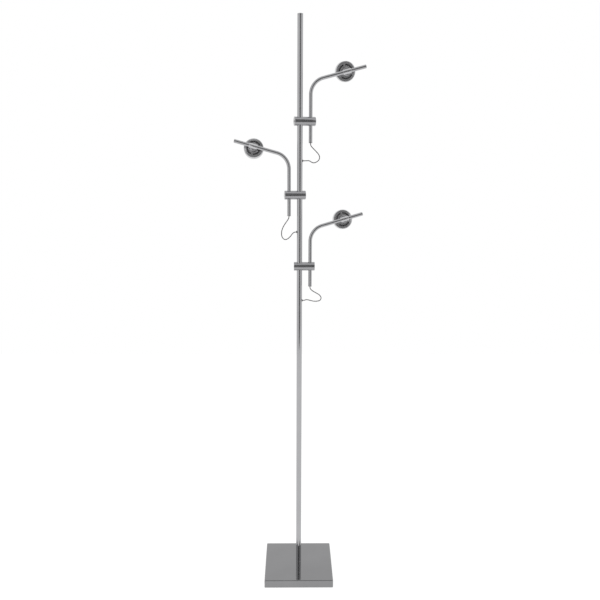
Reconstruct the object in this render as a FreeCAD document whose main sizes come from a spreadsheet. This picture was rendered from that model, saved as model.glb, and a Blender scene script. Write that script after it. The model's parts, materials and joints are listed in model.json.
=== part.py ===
import FreeCAD, Part
import Sketcher
import math
import os
import re

# Tree floor lamp, millimetres, +Z up.
# The origin is on the floor, under the centre of the square base and on the axis of the pole.
# Three arms hang on the pole one over another; each is a clamp, a bent tube and a round head.

# ---------------------------------------------------------------- driving dimensions

DIMENSIONS = [
    # square base
    ("base_side", 250.0, "side of the base cover"),
    ("base_top", 30.5, "height of the top of the base over the floor"),
    ("foot_height", 1.5, "thickness of the felt under the base"),
    ("felt_side", 236.0, "side of that felt"),
    ("sheet_wall", 1.5, "sheet of the base cover and of the bottom plate"),
    ("cover_round", 3.5, "rounding of the cover's edges"),
    ("plate_side", 244.0, "side of the bottom plate"),
    ("plate_hole", 15.0, "radius of the hole that gives access to the nut"),
    ("ballast_side", 240.0, "side of the cast weight"),
    ("ballast_height", 20.0, "height of the cast weight without its boss"),
    ("boss_radius", 25.0, "boss of the weight under the pole"),
    ("nut_pocket_radius", 14.0, "pocket for the nut"),
    ("nut_pocket_depth", 8.0, "depth of that pocket, from below"),
    ("groove_width", 8.0, "groove for the mains cord"),
    ("groove_depth", 8.0, "depth of that groove, from below"),
    ("driver_length", 70.0, "lamp driver, along X"),
    ("driver_width", 34.0, "lamp driver, along Y"),
    ("driver_height", 15.0, "lamp driver, along Z"),
    ("driver_round", 2.0, "rounding of the driver's upright edges"),
    ("driver_place", 65.0, "middle of the driver behind the pole's axis"),
    ("driver_gap", 2.0, "room round the driver"),
    ("gland_height", 8.0, "height of the cord gland over the floor"),
    ("gland_flange_radius", 6.0, "flange of the gland"),
    ("gland_flange", 2.0, "thickness of that flange"),
    ("gland_neck_radius", 4.5, "neck of the gland"),
    ("gland_neck", 4.5, "length of that neck"),
    ("gland_bore", 3.0, "radius of the cord's hole"),
    # tie between base and pole
    ("pipe_radius", 5.0, "threaded pipe"),
    ("pipe_bore", 3.5, "bore of the threaded pipe"),
    ("pipe_low", 4.5, "lower end of the threaded pipe"),
    ("pipe_high", 58.0, "upper end of the threaded pipe"),
    ("thread_gap", 0.1, "room round the threaded pipe in its nut and plug"),
    ("pipe_pass_gap", 0.3, "room round the threaded pipe in cover and weight"),
    ("nut_flats", 14.0, "width of the nut across its flats"),
    ("nut_height", 3.0, "height of the hexagon"),
    ("nut_flange_radius", 12.0, "flange of the nut"),
    ("nut_flange", 1.5, "thickness of that flange"),
    ("plug_flange", 1.2, "rim of the foot plug between base and pole"),
    ("plug_depth", 30.0, "length of the plug inside the pole"),
    # pole
    ("pole_radius", 9.5, "outer radius of the pole"),
    ("pole_bore", 8.0, "inner radius of the pole"),
    ("pole_split", 1000.0, "height of the joint between the two tubes"),
    ("lamp_height", 1996.0, "height of the lamp"),
    ("cap_height", 3.0, "disc on top of the pole"),
    ("cap_depth", 12.0, "length of the cap inside the pole"),
    ("inner_fit", 0.05, "room round what is pushed into a tube"),
    ("joiner_half", 30.0, "half the length of the joiner"),
    ("joiner_bore", 5.0, "inner radius of the joiner"),
    ("riser_radius", 2.5, "cable inside the pole"),
    ("riser_top", 1530.0, "upper end of that cable"),
    # grommets, where the leads enter the pole
    ("grommet_hole", 3.0, "hole in the pole"),
    ("grommet_radius", 4.0, "flange of a grommet"),
    ("grommet_flange", 1.5, "thickness of that flange"),
    ("grommet_neck", 2.5, "length of the neck in the pole"),
    ("core_radius", 1.0, "hole for the wires beyond a lead's jacket"),
    ("jacket_depth", 1.0, "depth that a lead's jacket goes into grommet or bush"),
    ("jacket_gap", 0.1, "room round the jacket there"),
    ("lead_radius", 1.5, "radius of a lead"),
    # clamp
    ("clamp_radius", 15.0, "radius of the clamp's barrel"),
    ("clamp_back", 19.5, "end of the barrel on the pole's side of the pole's axis"),
    ("clamp_front", 52.5, "end of the barrel on the arm's side"),
    ("clamp_edge", 0.6, "small rounding of the barrel's ends"),
    ("arm_offset", 37.0, "distance from the pole's axis to the arm's"),
    ("liner_radius", 11.0, "outer radius of the split liner"),
    ("liner_bore", 9.55, "bore of the liner, a running fit on the pole"),
    ("liner_half", 8.0, "half the height of the liner"),
    ("liner_slit", 1.6, "width of the liner's slit"),
    ("liner_gap", 0.1, "room above and below the liner in the clamp"),
    ("liner_fit", 0.05, "room round the liner in the clamp"),
    ("clamp_pole_bore", 9.8, "bore of the clamp round the pole"),
    ("arm_bore_fit", 0.05, "running fit of the arm in the clamp and of the head on the arm"),
    ("plunger_radius", 4.0, "grub screw and pressure pins"),
    ("plunger_fit", 0.05, "room round them"),
    ("screw_inset", 1.0, "grub screw under the barrel's end"),
    ("screw_length", 5.0, "length of the grub screw"),
    ("socket_flats", 4.0, "hexagon socket across its flats"),
    ("socket_depth", 2.5, "depth of the socket"),
    ("pin_gap", 0.1, "room between a pressure pin and what it presses"),
    # arm
    ("arm_radius", 6.25, "outer radius of the arm's tube"),
    ("arm_wall", 1.25, "wall of that tube"),
    ("arm_low", 71.0, "lower end of the arm under the clamp's middle"),
    ("bend_start", 87.0, "height over the clamp's middle where the bend begins"),
    ("bend_radius", 56.0, "bend of the tube's centre line"),
    ("rod_rise", 15.25, "rise of the upper rod, degrees"),
    ("arm_reach", 186.0, "level distance from the arm's upright axis to its tip"),
    ("ring_half", 4.2, "half the height of the ring groove at the clamp"),
    ("ring_depth", 0.5, "depth of that groove"),
    ("end_disc", 1.5, "disc of the cap at the arm's tip"),
    ("bush_disc", 1.0, "disc of the bush at the arm's lower end"),
    ("end_spigot", 8.0, "length of cap and bush inside the arm"),
    # head
    ("head_reach", 121.0, "level distance from the arm's upright axis to the head"),
    ("head_radius", 34.0, "radius of the head"),
    ("head_back", 20.0, "back of the head behind the rod's axis"),
    ("head_depth", 16.0, "depth of the head"),
    ("head_round", 4.0, "rounding of the head's back edge"),
    ("head_wall", 2.0, "wall of the head's shell"),
    ("rim_height", 3.0, "height of the front rim"),
    ("rim_lip", 2.0, "thickness of the rim's lip over the lens"),
    ("rim_window", 29.0, "inner radius of the rim's lip"),
    ("slot_inner", 19.5, "inner radius of the cooling slots"),
    ("slot_outer", 24.7, "outer radius of the cooling slots"),
    ("spoke_width", 7.0, "bridge between two slots"),
    ("slot_count", 3.0, "number of cooling slots"),
    ("hub_radius", 13.0, "boss of the collar behind the rod"),
    ("hub_start", 4.0, "start of that boss behind the rod's axis"),
    ("wire_hole", 3.0, "hole for the wires through boss and back"),
    ("sleeve_radius", 8.5, "sleeve of the collar round the rod"),
    ("sleeve_half", 14.5, "half the length of that sleeve"),
    ("collar_screw_radius", 2.0, "friction screw of the collar"),
    ("sink_radius", 31.5, "heat sink"),
    ("sink_hub", 10.0, "foot of the heat sink on the head's back"),
    ("sink_low", 4.0, "underside of the heat sink's plate over the back's outer face"),
    ("sink_high", 8.0, "upper side of that plate"),
    ("sink_wall", 2.0, "rim of the heat sink that carries the lens"),
    ("board_radius", 28.0, "board with the light source"),
    ("board_height", 1.6, "thickness of the board"),
    ("lens_radius", 31.9, "lens"),
    ("lens_height", 2.0, "thickness of the lens"),
]

# Each arm: clamp height, heading of the clamp and of the arm (degrees from +X), side of the rod
# that its head is on (+1 left of the arm's heading, -1 right of it), turn of the head about the
# rod, height of the lead's hole in the pole under the clamp, and the lead's route. The route is in
# the clamp's own axes: out from the pole's axis, sideways, and up from the clamp's middle. It runs
# from the arm's lower end to the hole in the pole.
ARMS = {
    "upper": {
        "height": 1656.0,
        "clamp_heading": 12.0,
        "arm_heading": 6.0,
        "head_side": 1,
        "head_turn": 7.25,
        "hole_drop": 130.0,
        "route": [
            (37.0, 0.0, -71.0), (37.0, 0.0, -77.0), (40.5, -0.4, -83.2), (49.3, -1.6, -92.0),
            (60.0, -3.0, -102.5), (68.5, -4.0, -113.5), (67.5, -3.6, -126.0), (57.5, -2.0, -134.8),
            (45.0, -0.6, -137.5), (33.5, 0.4, -129.0), (21.5, 0.0, -130.0), (11.0, 0.0, -130.0),
        ],
    },
    "middle": {
        "height": 1411.0,
        "clamp_heading": 189.0,
        "arm_heading": 176.0,
        "head_side": -1,
        "head_turn": 15.6,
        "hole_drop": 126.0,
        "route": [
            (37.0, 0.0, -71.0), (37.0, 0.0, -77.0), (40.8, 0.3, -83.5), (48.2, 1.2, -93.5),
            (57.0, 2.4, -106.0), (63.0, 3.4, -120.5), (63.8, 3.2, -135.0), (60.0, 2.2, -146.3),
            (52.0, 1.0, -152.2), (42.5, 0.2, -150.5), (32.5, -0.4, -142.0), (25.2, 0.0, -131.5),
            (18.0, 0.0, -126.0), (11.0, 0.0, -126.0),
        ],
    },
    "lower": {
        "height": 1165.0,
        "clamp_heading": 2.0,
        "arm_heading": 11.0,
        "head_side": 1,
        "head_turn": -6.2,
        "hole_drop": 121.5,
        "route": [
            (37.0, 0.0, -71.0), (37.0, 0.0, -77.0), (40.6, -0.4, -83.0), (49.2, -1.4, -89.4),
            (60.5, -2.8, -95.2), (71.0, -3.8, -101.5), (77.3, -4.4, -110.5), (74.0, -4.0, -120.8),
            (63.5, -2.4, -124.3), (49.5, -0.8, -124.6), (34.5, 0.4, -120.5), (24.5, 0.0, -118.3),
            (17.4, 0.0, -121.5), (11.0, 0.0, -121.5),
        ],
    },
}

# Room for rounding errors when edges and faces are picked by their place.
TINY = 1e-3

# Part of the shorter run beside a route's point that its arc takes on each side.
ARC_SHARE = 0.45

# ---------------------------------------------------------------- document and helpers

doc = FreeCAD.newDocument("TreeFloorLamp")
sheet = doc.addObject("Spreadsheet::Sheet", "Dims")
for row, (alias, value, note) in enumerate(DIMENSIONS, start=1):
    sheet.set("A%d" % row, note)
    sheet.set("B%d" % row, str(value))
    sheet.setAlias("B%d" % row, alias)
doc.recompute()

ALIAS = re.compile(r"\b(%s)\b" % "|".join(alias for alias, value, note in DIMENSIONS))
X_AXIS = FreeCAD.Vector(1, 0, 0)
Y_AXIS = FreeCAD.Vector(0, 1, 0)
Z_AXIS = FreeCAD.Vector(0, 0, 1)
Z_TO_X = FreeCAD.Rotation(Z_AXIS, X_AXIS)
Z_TO_Y = FreeCAD.Rotation(FreeCAD.Vector(0, 1, 1), 180)  # also turns Y into Z
nodes = []


def bind(text):
    """Return an expression on the sheet's cells from one that names their aliases."""
    return ALIAS.sub(r"Dims.\1", str(text))


def size(text):
    """Return the value of an expression of aliases, in millimetres or degrees."""
    return float(sheet.evalExpression(bind(text)))


def place(x="0", y="0", z="0", rotation=FreeCAD.Rotation()):
    """Return a placement whose base is given by three expressions."""
    return FreeCAD.Placement(FreeCAD.Vector(size(x), size(y), size(z)), rotation)


def node(item, label, placement=FreeCAD.Placement()):
    """Name a finished sub-part, put it in its place and keep it for the files."""
    item.Label = label
    item.Placement = placement
    nodes.append(item)
    return item


def origin_plane(body, role):
    """Return a body's own origin plane."""
    return [item for item in body.Origin.OriginFeatures if item.Role == role][0]


def sketch_on(body, role, height="0"):
    """Return an empty sketch on an origin plane of the body, raised by an expression."""
    sketch = body.newObject("Sketcher::SketchObject", body.Name + "_sketch")
    sketch.AttachmentSupport = (origin_plane(body, role), [""])
    sketch.MapMode = "FlatFace"
    sketch.setExpression("AttachmentOffset.Base.z", bind(height))
    return sketch


def pin_point(sketch, line, end, x, y):
    """Fix one end of a line by two expressions, measured from the sketch's origin."""
    for kind, text in (("DistanceX", x), ("DistanceY", y)):
        index = sketch.addConstraint(Sketcher.Constraint(kind, -1, 1, line, end, size(text)))
        sketch.setExpression("Constraints[%d]" % index, bind(text))


def add_polygon(sketch, corners):
    """Draw a closed outline whose corners are pairs of expressions."""
    points = [FreeCAD.Vector(size(x), size(y), 0) for x, y in corners]
    first = sketch.GeometryCount
    count = len(points)
    for index, point in enumerate(points):
        sketch.addGeometry(Part.LineSegment(point, points[(index + 1) % count]), False)
    for index, (x, y) in enumerate(corners):
        line = first + index
        following = first + (index + 1) % count
        sketch.addConstraint(Sketcher.Constraint("Coincident", line, 2, following, 1))
        pin_point(sketch, line, 1, x, y)


def add_square(sketch, width, depth=None, x="0", y="0"):
    """Draw a rectangle round a middle point; all four values are expressions."""
    depth = depth or width
    left, right = "%s - (%s) / 2" % (x, width), "%s + (%s) / 2" % (x, width)
    low, high = "%s - (%s) / 2" % (y, depth), "%s + (%s) / 2" % (y, depth)
    add_polygon(sketch, [(left, low), (right, low), (right, high), (left, high)])


def add_circle(sketch, radius):
    """Draw a circle round the sketch's origin; the radius is an expression."""
    circle = Part.Circle(FreeCAD.Vector(), Z_AXIS, size(radius))
    index = sketch.addGeometry(circle, False)
    sketch.addConstraint(Sketcher.Constraint("Coincident", index, 3, -1, 1))
    limit = sketch.addConstraint(Sketcher.Constraint("Radius", index, size(radius)))
    sketch.setExpression("Constraints[%d]" % limit, bind(radius))


def new_body(name):
    """Return an empty body."""
    return doc.addObject("PartDesign::Body", name)


def pad(body, sketch, length):
    """Add the sketch's outline to the body, upwards."""
    feature = body.newObject("PartDesign::Pad", body.Name + "_pad")
    feature.Profile = sketch
    feature.setExpression("Length", bind(length))
    doc.recompute()
    return feature


def pocket(body, sketch, depth):
    """Cut the sketch's outline out of the body, upwards, and make sure that it cuts."""
    before = body.Shape.Volume
    feature = body.newObject("PartDesign::Pocket", body.Name + "_pocket")
    feature.Profile = sketch
    feature.Reversed = True
    feature.setExpression("Length", bind(depth))
    doc.recompute()
    if body.Shape.Volume >= before:
        raise RuntimeError("%s: a pocket cuts nothing" % body.Name)
    return feature


def turned(name, profile):
    """Return a body turned about its Z axis from (radius, height) expressions."""
    body = new_body(name)
    sketch = sketch_on(body, "XZ_Plane")
    add_polygon(sketch, profile)
    feature = body.newObject("PartDesign::Revolution", name + "_turn")
    feature.Profile = sketch
    feature.ReferenceAxis = (sketch, ["V_Axis"])
    feature.Angle = 360
    doc.recompute()
    return body


def ring_profile(inner, outer, low, high):
    """Return the profile of a plain ring or tube."""
    return [(inner, low), (outer, low), (outer, high), (inner, high)]


def round_edges(body, radius, wanted):
    """Round those edges of the body's tip that the test picks."""
    base = body.Tip
    names = ["Edge%d" % number for number, edge in enumerate(base.Shape.Edges, start=1) if wanted(edge)]
    if not names:
        raise RuntimeError("%s: no edge to round" % body.Name)
    feature = body.newObject("PartDesign::Fillet", body.Name + "_round")
    feature.Base = (base, names)
    feature.setExpression("Radius", bind(radius))
    doc.recompute()


def cylinder(name, radius, length, placement=FreeCAD.Placement()):
    """Return a plain cylinder along its own Z axis."""
    item = doc.addObject("Part::Cylinder", name)
    item.setExpression("Radius", bind(radius))
    item.setExpression("Height", bind(length))
    item.Placement = placement
    return item


def block(name, length, width, height, placement=FreeCAD.Placement()):
    """Return a plain block from its own corner."""
    item = doc.addObject("Part::Box", name)
    item.setExpression("Length", bind(length))
    item.setExpression("Width", bind(width))
    item.setExpression("Height", bind(height))
    item.Placement = placement
    return item


def hexagon(name, flats, height, placement=FreeCAD.Placement()):
    """Return a hexagonal prism by its width across the flats."""
    item = doc.addObject("Part::Prism", name)
    item.Polygon = 6
    item.setExpression("Circumradius", bind("%s / sqrt(3)" % flats))
    item.setExpression("Height", bind(height))
    item.Placement = placement
    return item


def fused(name, items):
    """Return the union of several solids."""
    item = doc.addObject("Part::MultiFuse", name)
    item.Shapes = items
    return item


def drilled(name, base, tools):
    """Return a solid less one or more others, and make sure that they cut."""
    item = doc.addObject("Part::Cut", name)
    item.Base = base
    item.Tool = tools[0] if len(tools) == 1 else fused(name + "_tools", tools)
    doc.recompute()
    if item.Shape.Volume >= base.Shape.Volume:
        raise RuntimeError("%s: the tools cut nothing" % name)
    return item


def group(name, items):
    """Return several separate solids as one object."""
    item = doc.addObject("Part::Compound", name)
    item.Links = items
    doc.recompute()
    return item


# ---------------------------------------------------------------- base


def is_upright(edge):
    """Tell whether an edge runs along Z."""
    ends = [vertex.Point for vertex in edge.Vertexes]
    return len(ends) == 2 and (ends[1] - ends[0]).cross(Z_AXIS).Length < TINY


def build_base_cover():
    """Chromed sheet cover: a rounded square, open below, with holes for pipe and gland."""
    body = new_body("base_cover_shell")
    sketch = sketch_on(body, "XY_Plane")
    add_square(sketch, "base_side")
    pad(body, sketch, "base_top - foot_height")
    top = size("base_top - foot_height")
    round_edges(body, "cover_round", lambda edge: is_upright(edge) or edge.BoundBox.ZMin > top - TINY)
    rounded = body.Tip
    below = [number for number, face in enumerate(rounded.Shape.Faces, start=1) if face.BoundBox.ZMax < TINY]
    shell = body.newObject("PartDesign::Thickness", "base_cover_thickness")
    shell.Base = (rounded, ["Face%d" % below[0]])
    shell.setExpression("Value", bind("sheet_wall"))
    shell.Reversed = True
    doc.recompute()
    pipe_hole = cylinder("cover_pipe_hole", "pipe_radius + pipe_pass_gap", "base_top")
    gland_place = place(y="base_side / 2 - gland_neck", z="gland_height - foot_height", rotation=Z_TO_Y)
    gland_hole = cylinder("cover_gland_hole", "gland_neck_radius + thread_gap", "2 * gland_neck", gland_place)
    cover = drilled("base_cover", body, [pipe_hole, gland_hole])
    node(cover, "base_cover", place(z="foot_height"))


def build_ballast():
    """Cast weight with a boss under the pole, a nut pocket, a driver pocket and a cord groove."""
    body = new_body("ballast_plate")
    sketch = sketch_on(body, "XY_Plane")
    add_square(sketch, "ballast_side")
    pad(body, sketch, "ballast_height")
    sketch = sketch_on(body, "XY_Plane", "ballast_height")
    add_circle(sketch, "boss_radius")
    pad(body, sketch, "base_top - foot_height - 2 * sheet_wall - ballast_height")
    sketch = sketch_on(body, "XY_Plane")
    add_circle(sketch, "nut_pocket_radius")
    pocket(body, sketch, "nut_pocket_depth")
    sketch = sketch_on(body, "XY_Plane")
    add_circle(sketch, "pipe_radius + pipe_pass_gap")
    pocket(body, sketch, "base_top")
    sketch = sketch_on(body, "XY_Plane")
    add_square(sketch, "driver_length + 2 * driver_gap", "driver_width + 2 * driver_gap", y="driver_place")
    pocket(body, sketch, "driver_height + driver_gap")
    sketch = sketch_on(body, "XY_Plane")
    add_square(sketch, "groove_width", "ballast_side / 2", y="ballast_side / 4")
    pocket(body, sketch, "groove_depth")
    node(body, "ballast_plate", place(z="foot_height + sheet_wall"))


def build_bottom_plate():
    """Sheet that closes the base, with a hole under the nut."""
    body = new_body("bottom_plate")
    sketch = sketch_on(body, "XY_Plane")
    add_square(sketch, "plate_side")
    add_circle(sketch, "plate_hole")
    pad(body, sketch, "sheet_wall")
    node(body, "bottom_plate", place(z="foot_height"))


def build_felt():
    """Felt that the lamp stands on, with the same hole as the bottom plate."""
    body = new_body("base_felt")
    sketch = sketch_on(body, "XY_Plane")
    add_square(sketch, "felt_side")
    add_circle(sketch, "plate_hole")
    pad(body, sketch, "foot_height")
    node(body, "base_felt")


def build_driver():
    """Sealed box of the lamp driver, on the bottom plate."""
    body = new_body("led_driver")
    sketch = sketch_on(body, "XY_Plane")
    add_square(sketch, "driver_length", "driver_width")
    pad(body, sketch, "driver_height")
    round_edges(body, "driver_round", is_upright)
    node(body, "led_driver", place(y="driver_place", z="foot_height + sheet_wall"))


def build_gland():
    """Bush in the rear wall for the mains cord."""
    profile = [
        ("gland_bore", "-gland_neck"),
        ("gland_neck_radius", "-gland_neck"),
        ("gland_neck_radius", "0"),
        ("gland_flange_radius", "0"),
        ("gland_flange_radius", "gland_flange"),
        ("gland_bore", "gland_flange"),
    ]
    body = turned("cable_gland", profile)
    node(body, "cable_gland", place(y="base_side / 2", z="gland_height", rotation=Z_TO_Y))


def build_tie():
    """Threaded pipe, its flanged nut below and the plug that it draws down in the pole's foot."""
    body = turned("threaded_pipe", ring_profile("pipe_bore", "pipe_radius", "pipe_low", "pipe_high"))
    node(body, "threaded_pipe")
    flange = cylinder("nut_disc", "nut_flange_radius", "nut_flange", place(z="nut_height"))
    prism = hexagon("nut_hexagon", "nut_flats", "nut_height")
    hole = cylinder("nut_hole", "pipe_radius + thread_gap / 2", "nut_height + nut_flange")
    nut = drilled("pipe_nut", fused("nut_blank", [prism, flange]), [hole])
    floor_of_pocket = "foot_height + sheet_wall + nut_pocket_depth"
    node(nut, "pipe_nut", place(z=floor_of_pocket + " - nut_height - nut_flange"))
    profile = [
        ("pipe_radius + thread_gap / 2", "0"),
        ("pole_radius", "0"),
        ("pole_radius", "plug_flange"),
        ("pole_bore - inner_fit", "plug_flange"),
        ("pole_bore - inner_fit", "plug_flange + plug_depth"),
        ("pipe_radius + thread_gap / 2", "plug_flange + plug_depth"),
    ]
    node(turned("pole_foot_plug", profile), "pole_foot_plug", place(z="base_top"))


# ---------------------------------------------------------------- pole


def hole_height(arm):
    """Return the height of the hole where an arm's lead enters the pole."""
    return arm["height"] - arm["hole_drop"]


def at_heading(arm, x, z, rotation):
    """Return a placement at a distance from the pole's axis, on the arm's side."""
    turn = FreeCAD.Placement(FreeCAD.Vector(0, 0, z), FreeCAD.Rotation(Z_AXIS, arm["clamp_heading"]))
    return turn.multiply(FreeCAD.Placement(FreeCAD.Vector(x, 0, 0), rotation))


def build_pole():
    """Two tubes, the joiner between them, and the cap on top; the upper tube has the lead holes."""
    foot = "base_top + plug_flange"
    lower = turned("pole_lower", ring_profile("pole_bore", "pole_radius", foot, "pole_split"))
    node(lower, "pole_lower")
    crown = "lamp_height - cap_height"
    tube = turned("pole_upper_tube", ring_profile("pole_bore", "pole_radius", "pole_split", crown))
    holes = []
    for arm in ARMS.values():
        axis = at_heading(arm, 0, hole_height(arm), Z_TO_X)
        holes.append(cylinder("lead_hole", "grommet_hole", "2 * pole_radius", axis))
    node(drilled("pole_upper", tube, holes), "pole_upper")
    low, high = "pole_split - joiner_half", "pole_split + joiner_half"
    joiner = turned("pole_joiner", ring_profile("joiner_bore", "pole_bore - inner_fit", low, high))
    node(joiner, "pole_joiner")
    profile = [
        ("0", "-cap_depth"),
        ("pole_bore - inner_fit", "-cap_depth"),
        ("pole_bore - inner_fit", "0"),
        ("pole_radius", "0"),
        ("pole_radius", "cap_height"),
        ("0", "cap_height"),
    ]
    node(turned("pole_top_cap", profile), "pole_top_cap", place(z=crown))


def build_grommets():
    """A flanged bush in each lead hole: it takes the jacket and lets the wires through."""
    profile = [
        ("core_radius", "-grommet_neck"),
        ("grommet_hole - inner_fit", "-grommet_neck"),
        ("grommet_hole - inner_fit", "0"),
        ("grommet_radius", "0"),
        ("grommet_radius", "grommet_flange"),
        ("lead_radius + jacket_gap", "grommet_flange"),
        ("lead_radius + jacket_gap", "grommet_flange - jacket_depth"),
        ("core_radius", "grommet_flange - jacket_depth"),
    ]
    grommets = []
    for name, arm in ARMS.items():
        body = turned(name + "_grommet", profile)
        body.Placement = at_heading(arm, size("pole_radius"), hole_height(arm), Z_TO_X)
        grommets.append(body)
    node(group("pole_grommets", grommets), "pole_grommets")


def build_riser():
    """Cable up the inside of the pole."""
    item = cylinder("riser_cable", "riser_radius", "riser_top - (foot_height + sheet_wall)")
    node(item, "riser_cable", place(z="foot_height + sheet_wall"))


# ---------------------------------------------------------------- arms


def clamp_frame(arm):
    """Return the frame of a clamp: origin on the pole's axis, X towards the arm."""
    return at_heading(arm, 0, arm["height"], FreeCAD.Rotation())


def arm_frame(arm):
    """Return the frame of an arm: origin on its upright axis, X along its heading."""
    turn = FreeCAD.Rotation(Z_AXIS, arm["arm_heading"] - arm["clamp_heading"])
    return clamp_frame(arm).multiply(place(x="arm_offset", rotation=turn))


ROD_START = "bend_radius * (1 - sin(rod_rise * 1 deg))"
ROD_HEIGHT = "bend_start + bend_radius * cos(rod_rise * 1 deg)"
ROD_TIP = "arm_reach - end_disc * cos(rod_rise * 1 deg)"


def rod_point(reach):
    """Return the height of the rod's centre line at a level distance, as an expression."""
    return "%s + (%s - %s) * tan(rod_rise * 1 deg)" % (ROD_HEIGHT, reach, ROD_START)


def head_frame(arm):
    """Return the frame of a head: X along the rod, Y where the lamp shines."""
    rise = math.radians(size("rod_rise"))
    turn = math.radians(arm["head_turn"])
    along = FreeCAD.Vector(math.cos(rise), 0, math.sin(rise))
    level = FreeCAD.Vector(0, arm["head_side"], 0)
    across = along.cross(level)
    shine = level * math.cos(turn) + across * math.sin(turn)
    rotation = FreeCAD.Rotation(along, shine, along.cross(shine), "XYZ")
    return arm_frame(arm).multiply(place(x="head_reach", z=rod_point("head_reach"), rotation=rotation))


def turned_in_head(name, label, profile, frame):
    """Turn a piece about the head's middle line; its heights count from the head's back."""
    item = turned(name, profile)
    node(item, label, frame.multiply(place(y="head_back", rotation=Z_TO_Y)))


def build_clamp(name, frame):
    """Barrel with a bore for the pole, one for the arm, a liner and what presses them.

    The hole of the grub screw and its pins runs from the barrel's end into the arm's bore.
    """
    ring_shape = ring_profile("liner_bore", "liner_radius", "-liner_half", "liner_half")
    ring = turned(name + "_liner_ring", ring_shape)
    slit_place = place(x="-liner_slit / 2", z="-liner_half")
    slit = block("liner_cut", "liner_slit", "2 * liner_radius", "2 * liner_half", slit_place)
    node(drilled(name + "_clamp_liner", ring, [slit]), name + "_clamp_liner", frame)

    barrel = turned(name + "_barrel", ring_profile("0", "clamp_radius", "-clamp_back", "clamp_front"))
    round_edges(barrel, "clamp_edge", lambda edge: edge.Closed)
    barrel.Placement = FreeCAD.Placement(FreeCAD.Vector(), Z_TO_X)
    through = "2 * clamp_radius"
    pole_bore = cylinder("clamp_bore", "clamp_pole_bore", through, place(z="-clamp_radius"))
    arm_bore_place = place("arm_offset", "0", "-clamp_radius")
    arm_bore = cylinder("clamp_arm_bore", "arm_radius + arm_bore_fit", through, arm_bore_place)
    liner_room = cylinder(
        "clamp_groove", "liner_radius + liner_fit", "2 * (liner_half + liner_gap)",
        place(z="-liner_half - liner_gap"))
    screw_hole = cylinder(
        "clamp_screw_hole", "plunger_radius + plunger_fit", "clamp_back + arm_offset",
        place(x="-clamp_back", rotation=Z_TO_X))
    body = drilled(name + "_clamp_body", barrel, [pole_bore, arm_bore, liner_room, screw_hole])
    node(body, name + "_clamp_body", frame)

    screw = cylinder("grub_screw", "plunger_radius", "screw_length")
    socket = hexagon("grub_socket", "socket_flats", "socket_depth")
    screw = drilled(name + "_clamp_screw", screw, [socket])
    screw_start = "-clamp_back + screw_inset"
    node(screw, name + "_clamp_screw", frame.multiply(place(x=screw_start, rotation=Z_TO_X)))

    pad_start = screw_start + " + screw_length"
    pad_length = "clamp_back - screw_inset - screw_length - liner_radius - pin_gap"
    short_pin = cylinder("short_pin", "plunger_radius", pad_length, place(x=pad_start, rotation=Z_TO_X))
    pin_length = "arm_offset - arm_radius + ring_depth - liner_radius - 2 * pin_gap"
    pin_place = place(x="liner_radius + pin_gap", rotation=Z_TO_X)
    long_pin = cylinder("long_pin", "plunger_radius", pin_length, pin_place)
    node(group(name + "_clamp_pins", [short_pin, long_pin]), name + "_clamp_pins", frame)


def add_arm_path(sketch):
    """Draw the arm's centre line: upright, bend, rising rod."""
    low = "-arm_low + bush_disc"
    radius = size("bend_radius")
    rise = math.radians(size("rod_rise"))
    start = FreeCAD.Vector(0, size("bend_start"), 0)
    middle = FreeCAD.Vector(radius, size("bend_start"), 0)
    end = FreeCAD.Vector(size(ROD_START), size(ROD_HEIGHT), 0)
    circle = Part.Circle(middle, Z_AXIS, radius)
    upright = Part.LineSegment(FreeCAD.Vector(0, size(low), 0), start)
    bend = Part.ArcOfCircle(circle, math.pi / 2 + rise, math.pi)
    rod = Part.LineSegment(end, FreeCAD.Vector(size(ROD_TIP), size(rod_point(ROD_TIP)), 0))
    for curve in (upright, bend, rod):
        sketch.addGeometry(curve, False)
    pin_point(sketch, 0, 1, "0", low)
    pin_point(sketch, 0, 2, "0", "bend_start")
    pin_point(sketch, 1, 3, "bend_radius", "bend_start")
    sketch.addConstraint(Sketcher.Constraint("Coincident", 0, 2, 1, 2))
    sketch.addConstraint(Sketcher.Constraint("Coincident", 1, 1, 2, 1))
    limit = sketch.addConstraint(Sketcher.Constraint("DistanceX", -1, 1, 1, 1, size(ROD_START)))
    sketch.setExpression("Constraints[%d]" % limit, bind(ROD_START))
    pin_point(sketch, 2, 2, ROD_TIP, rod_point(ROD_TIP))


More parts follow.
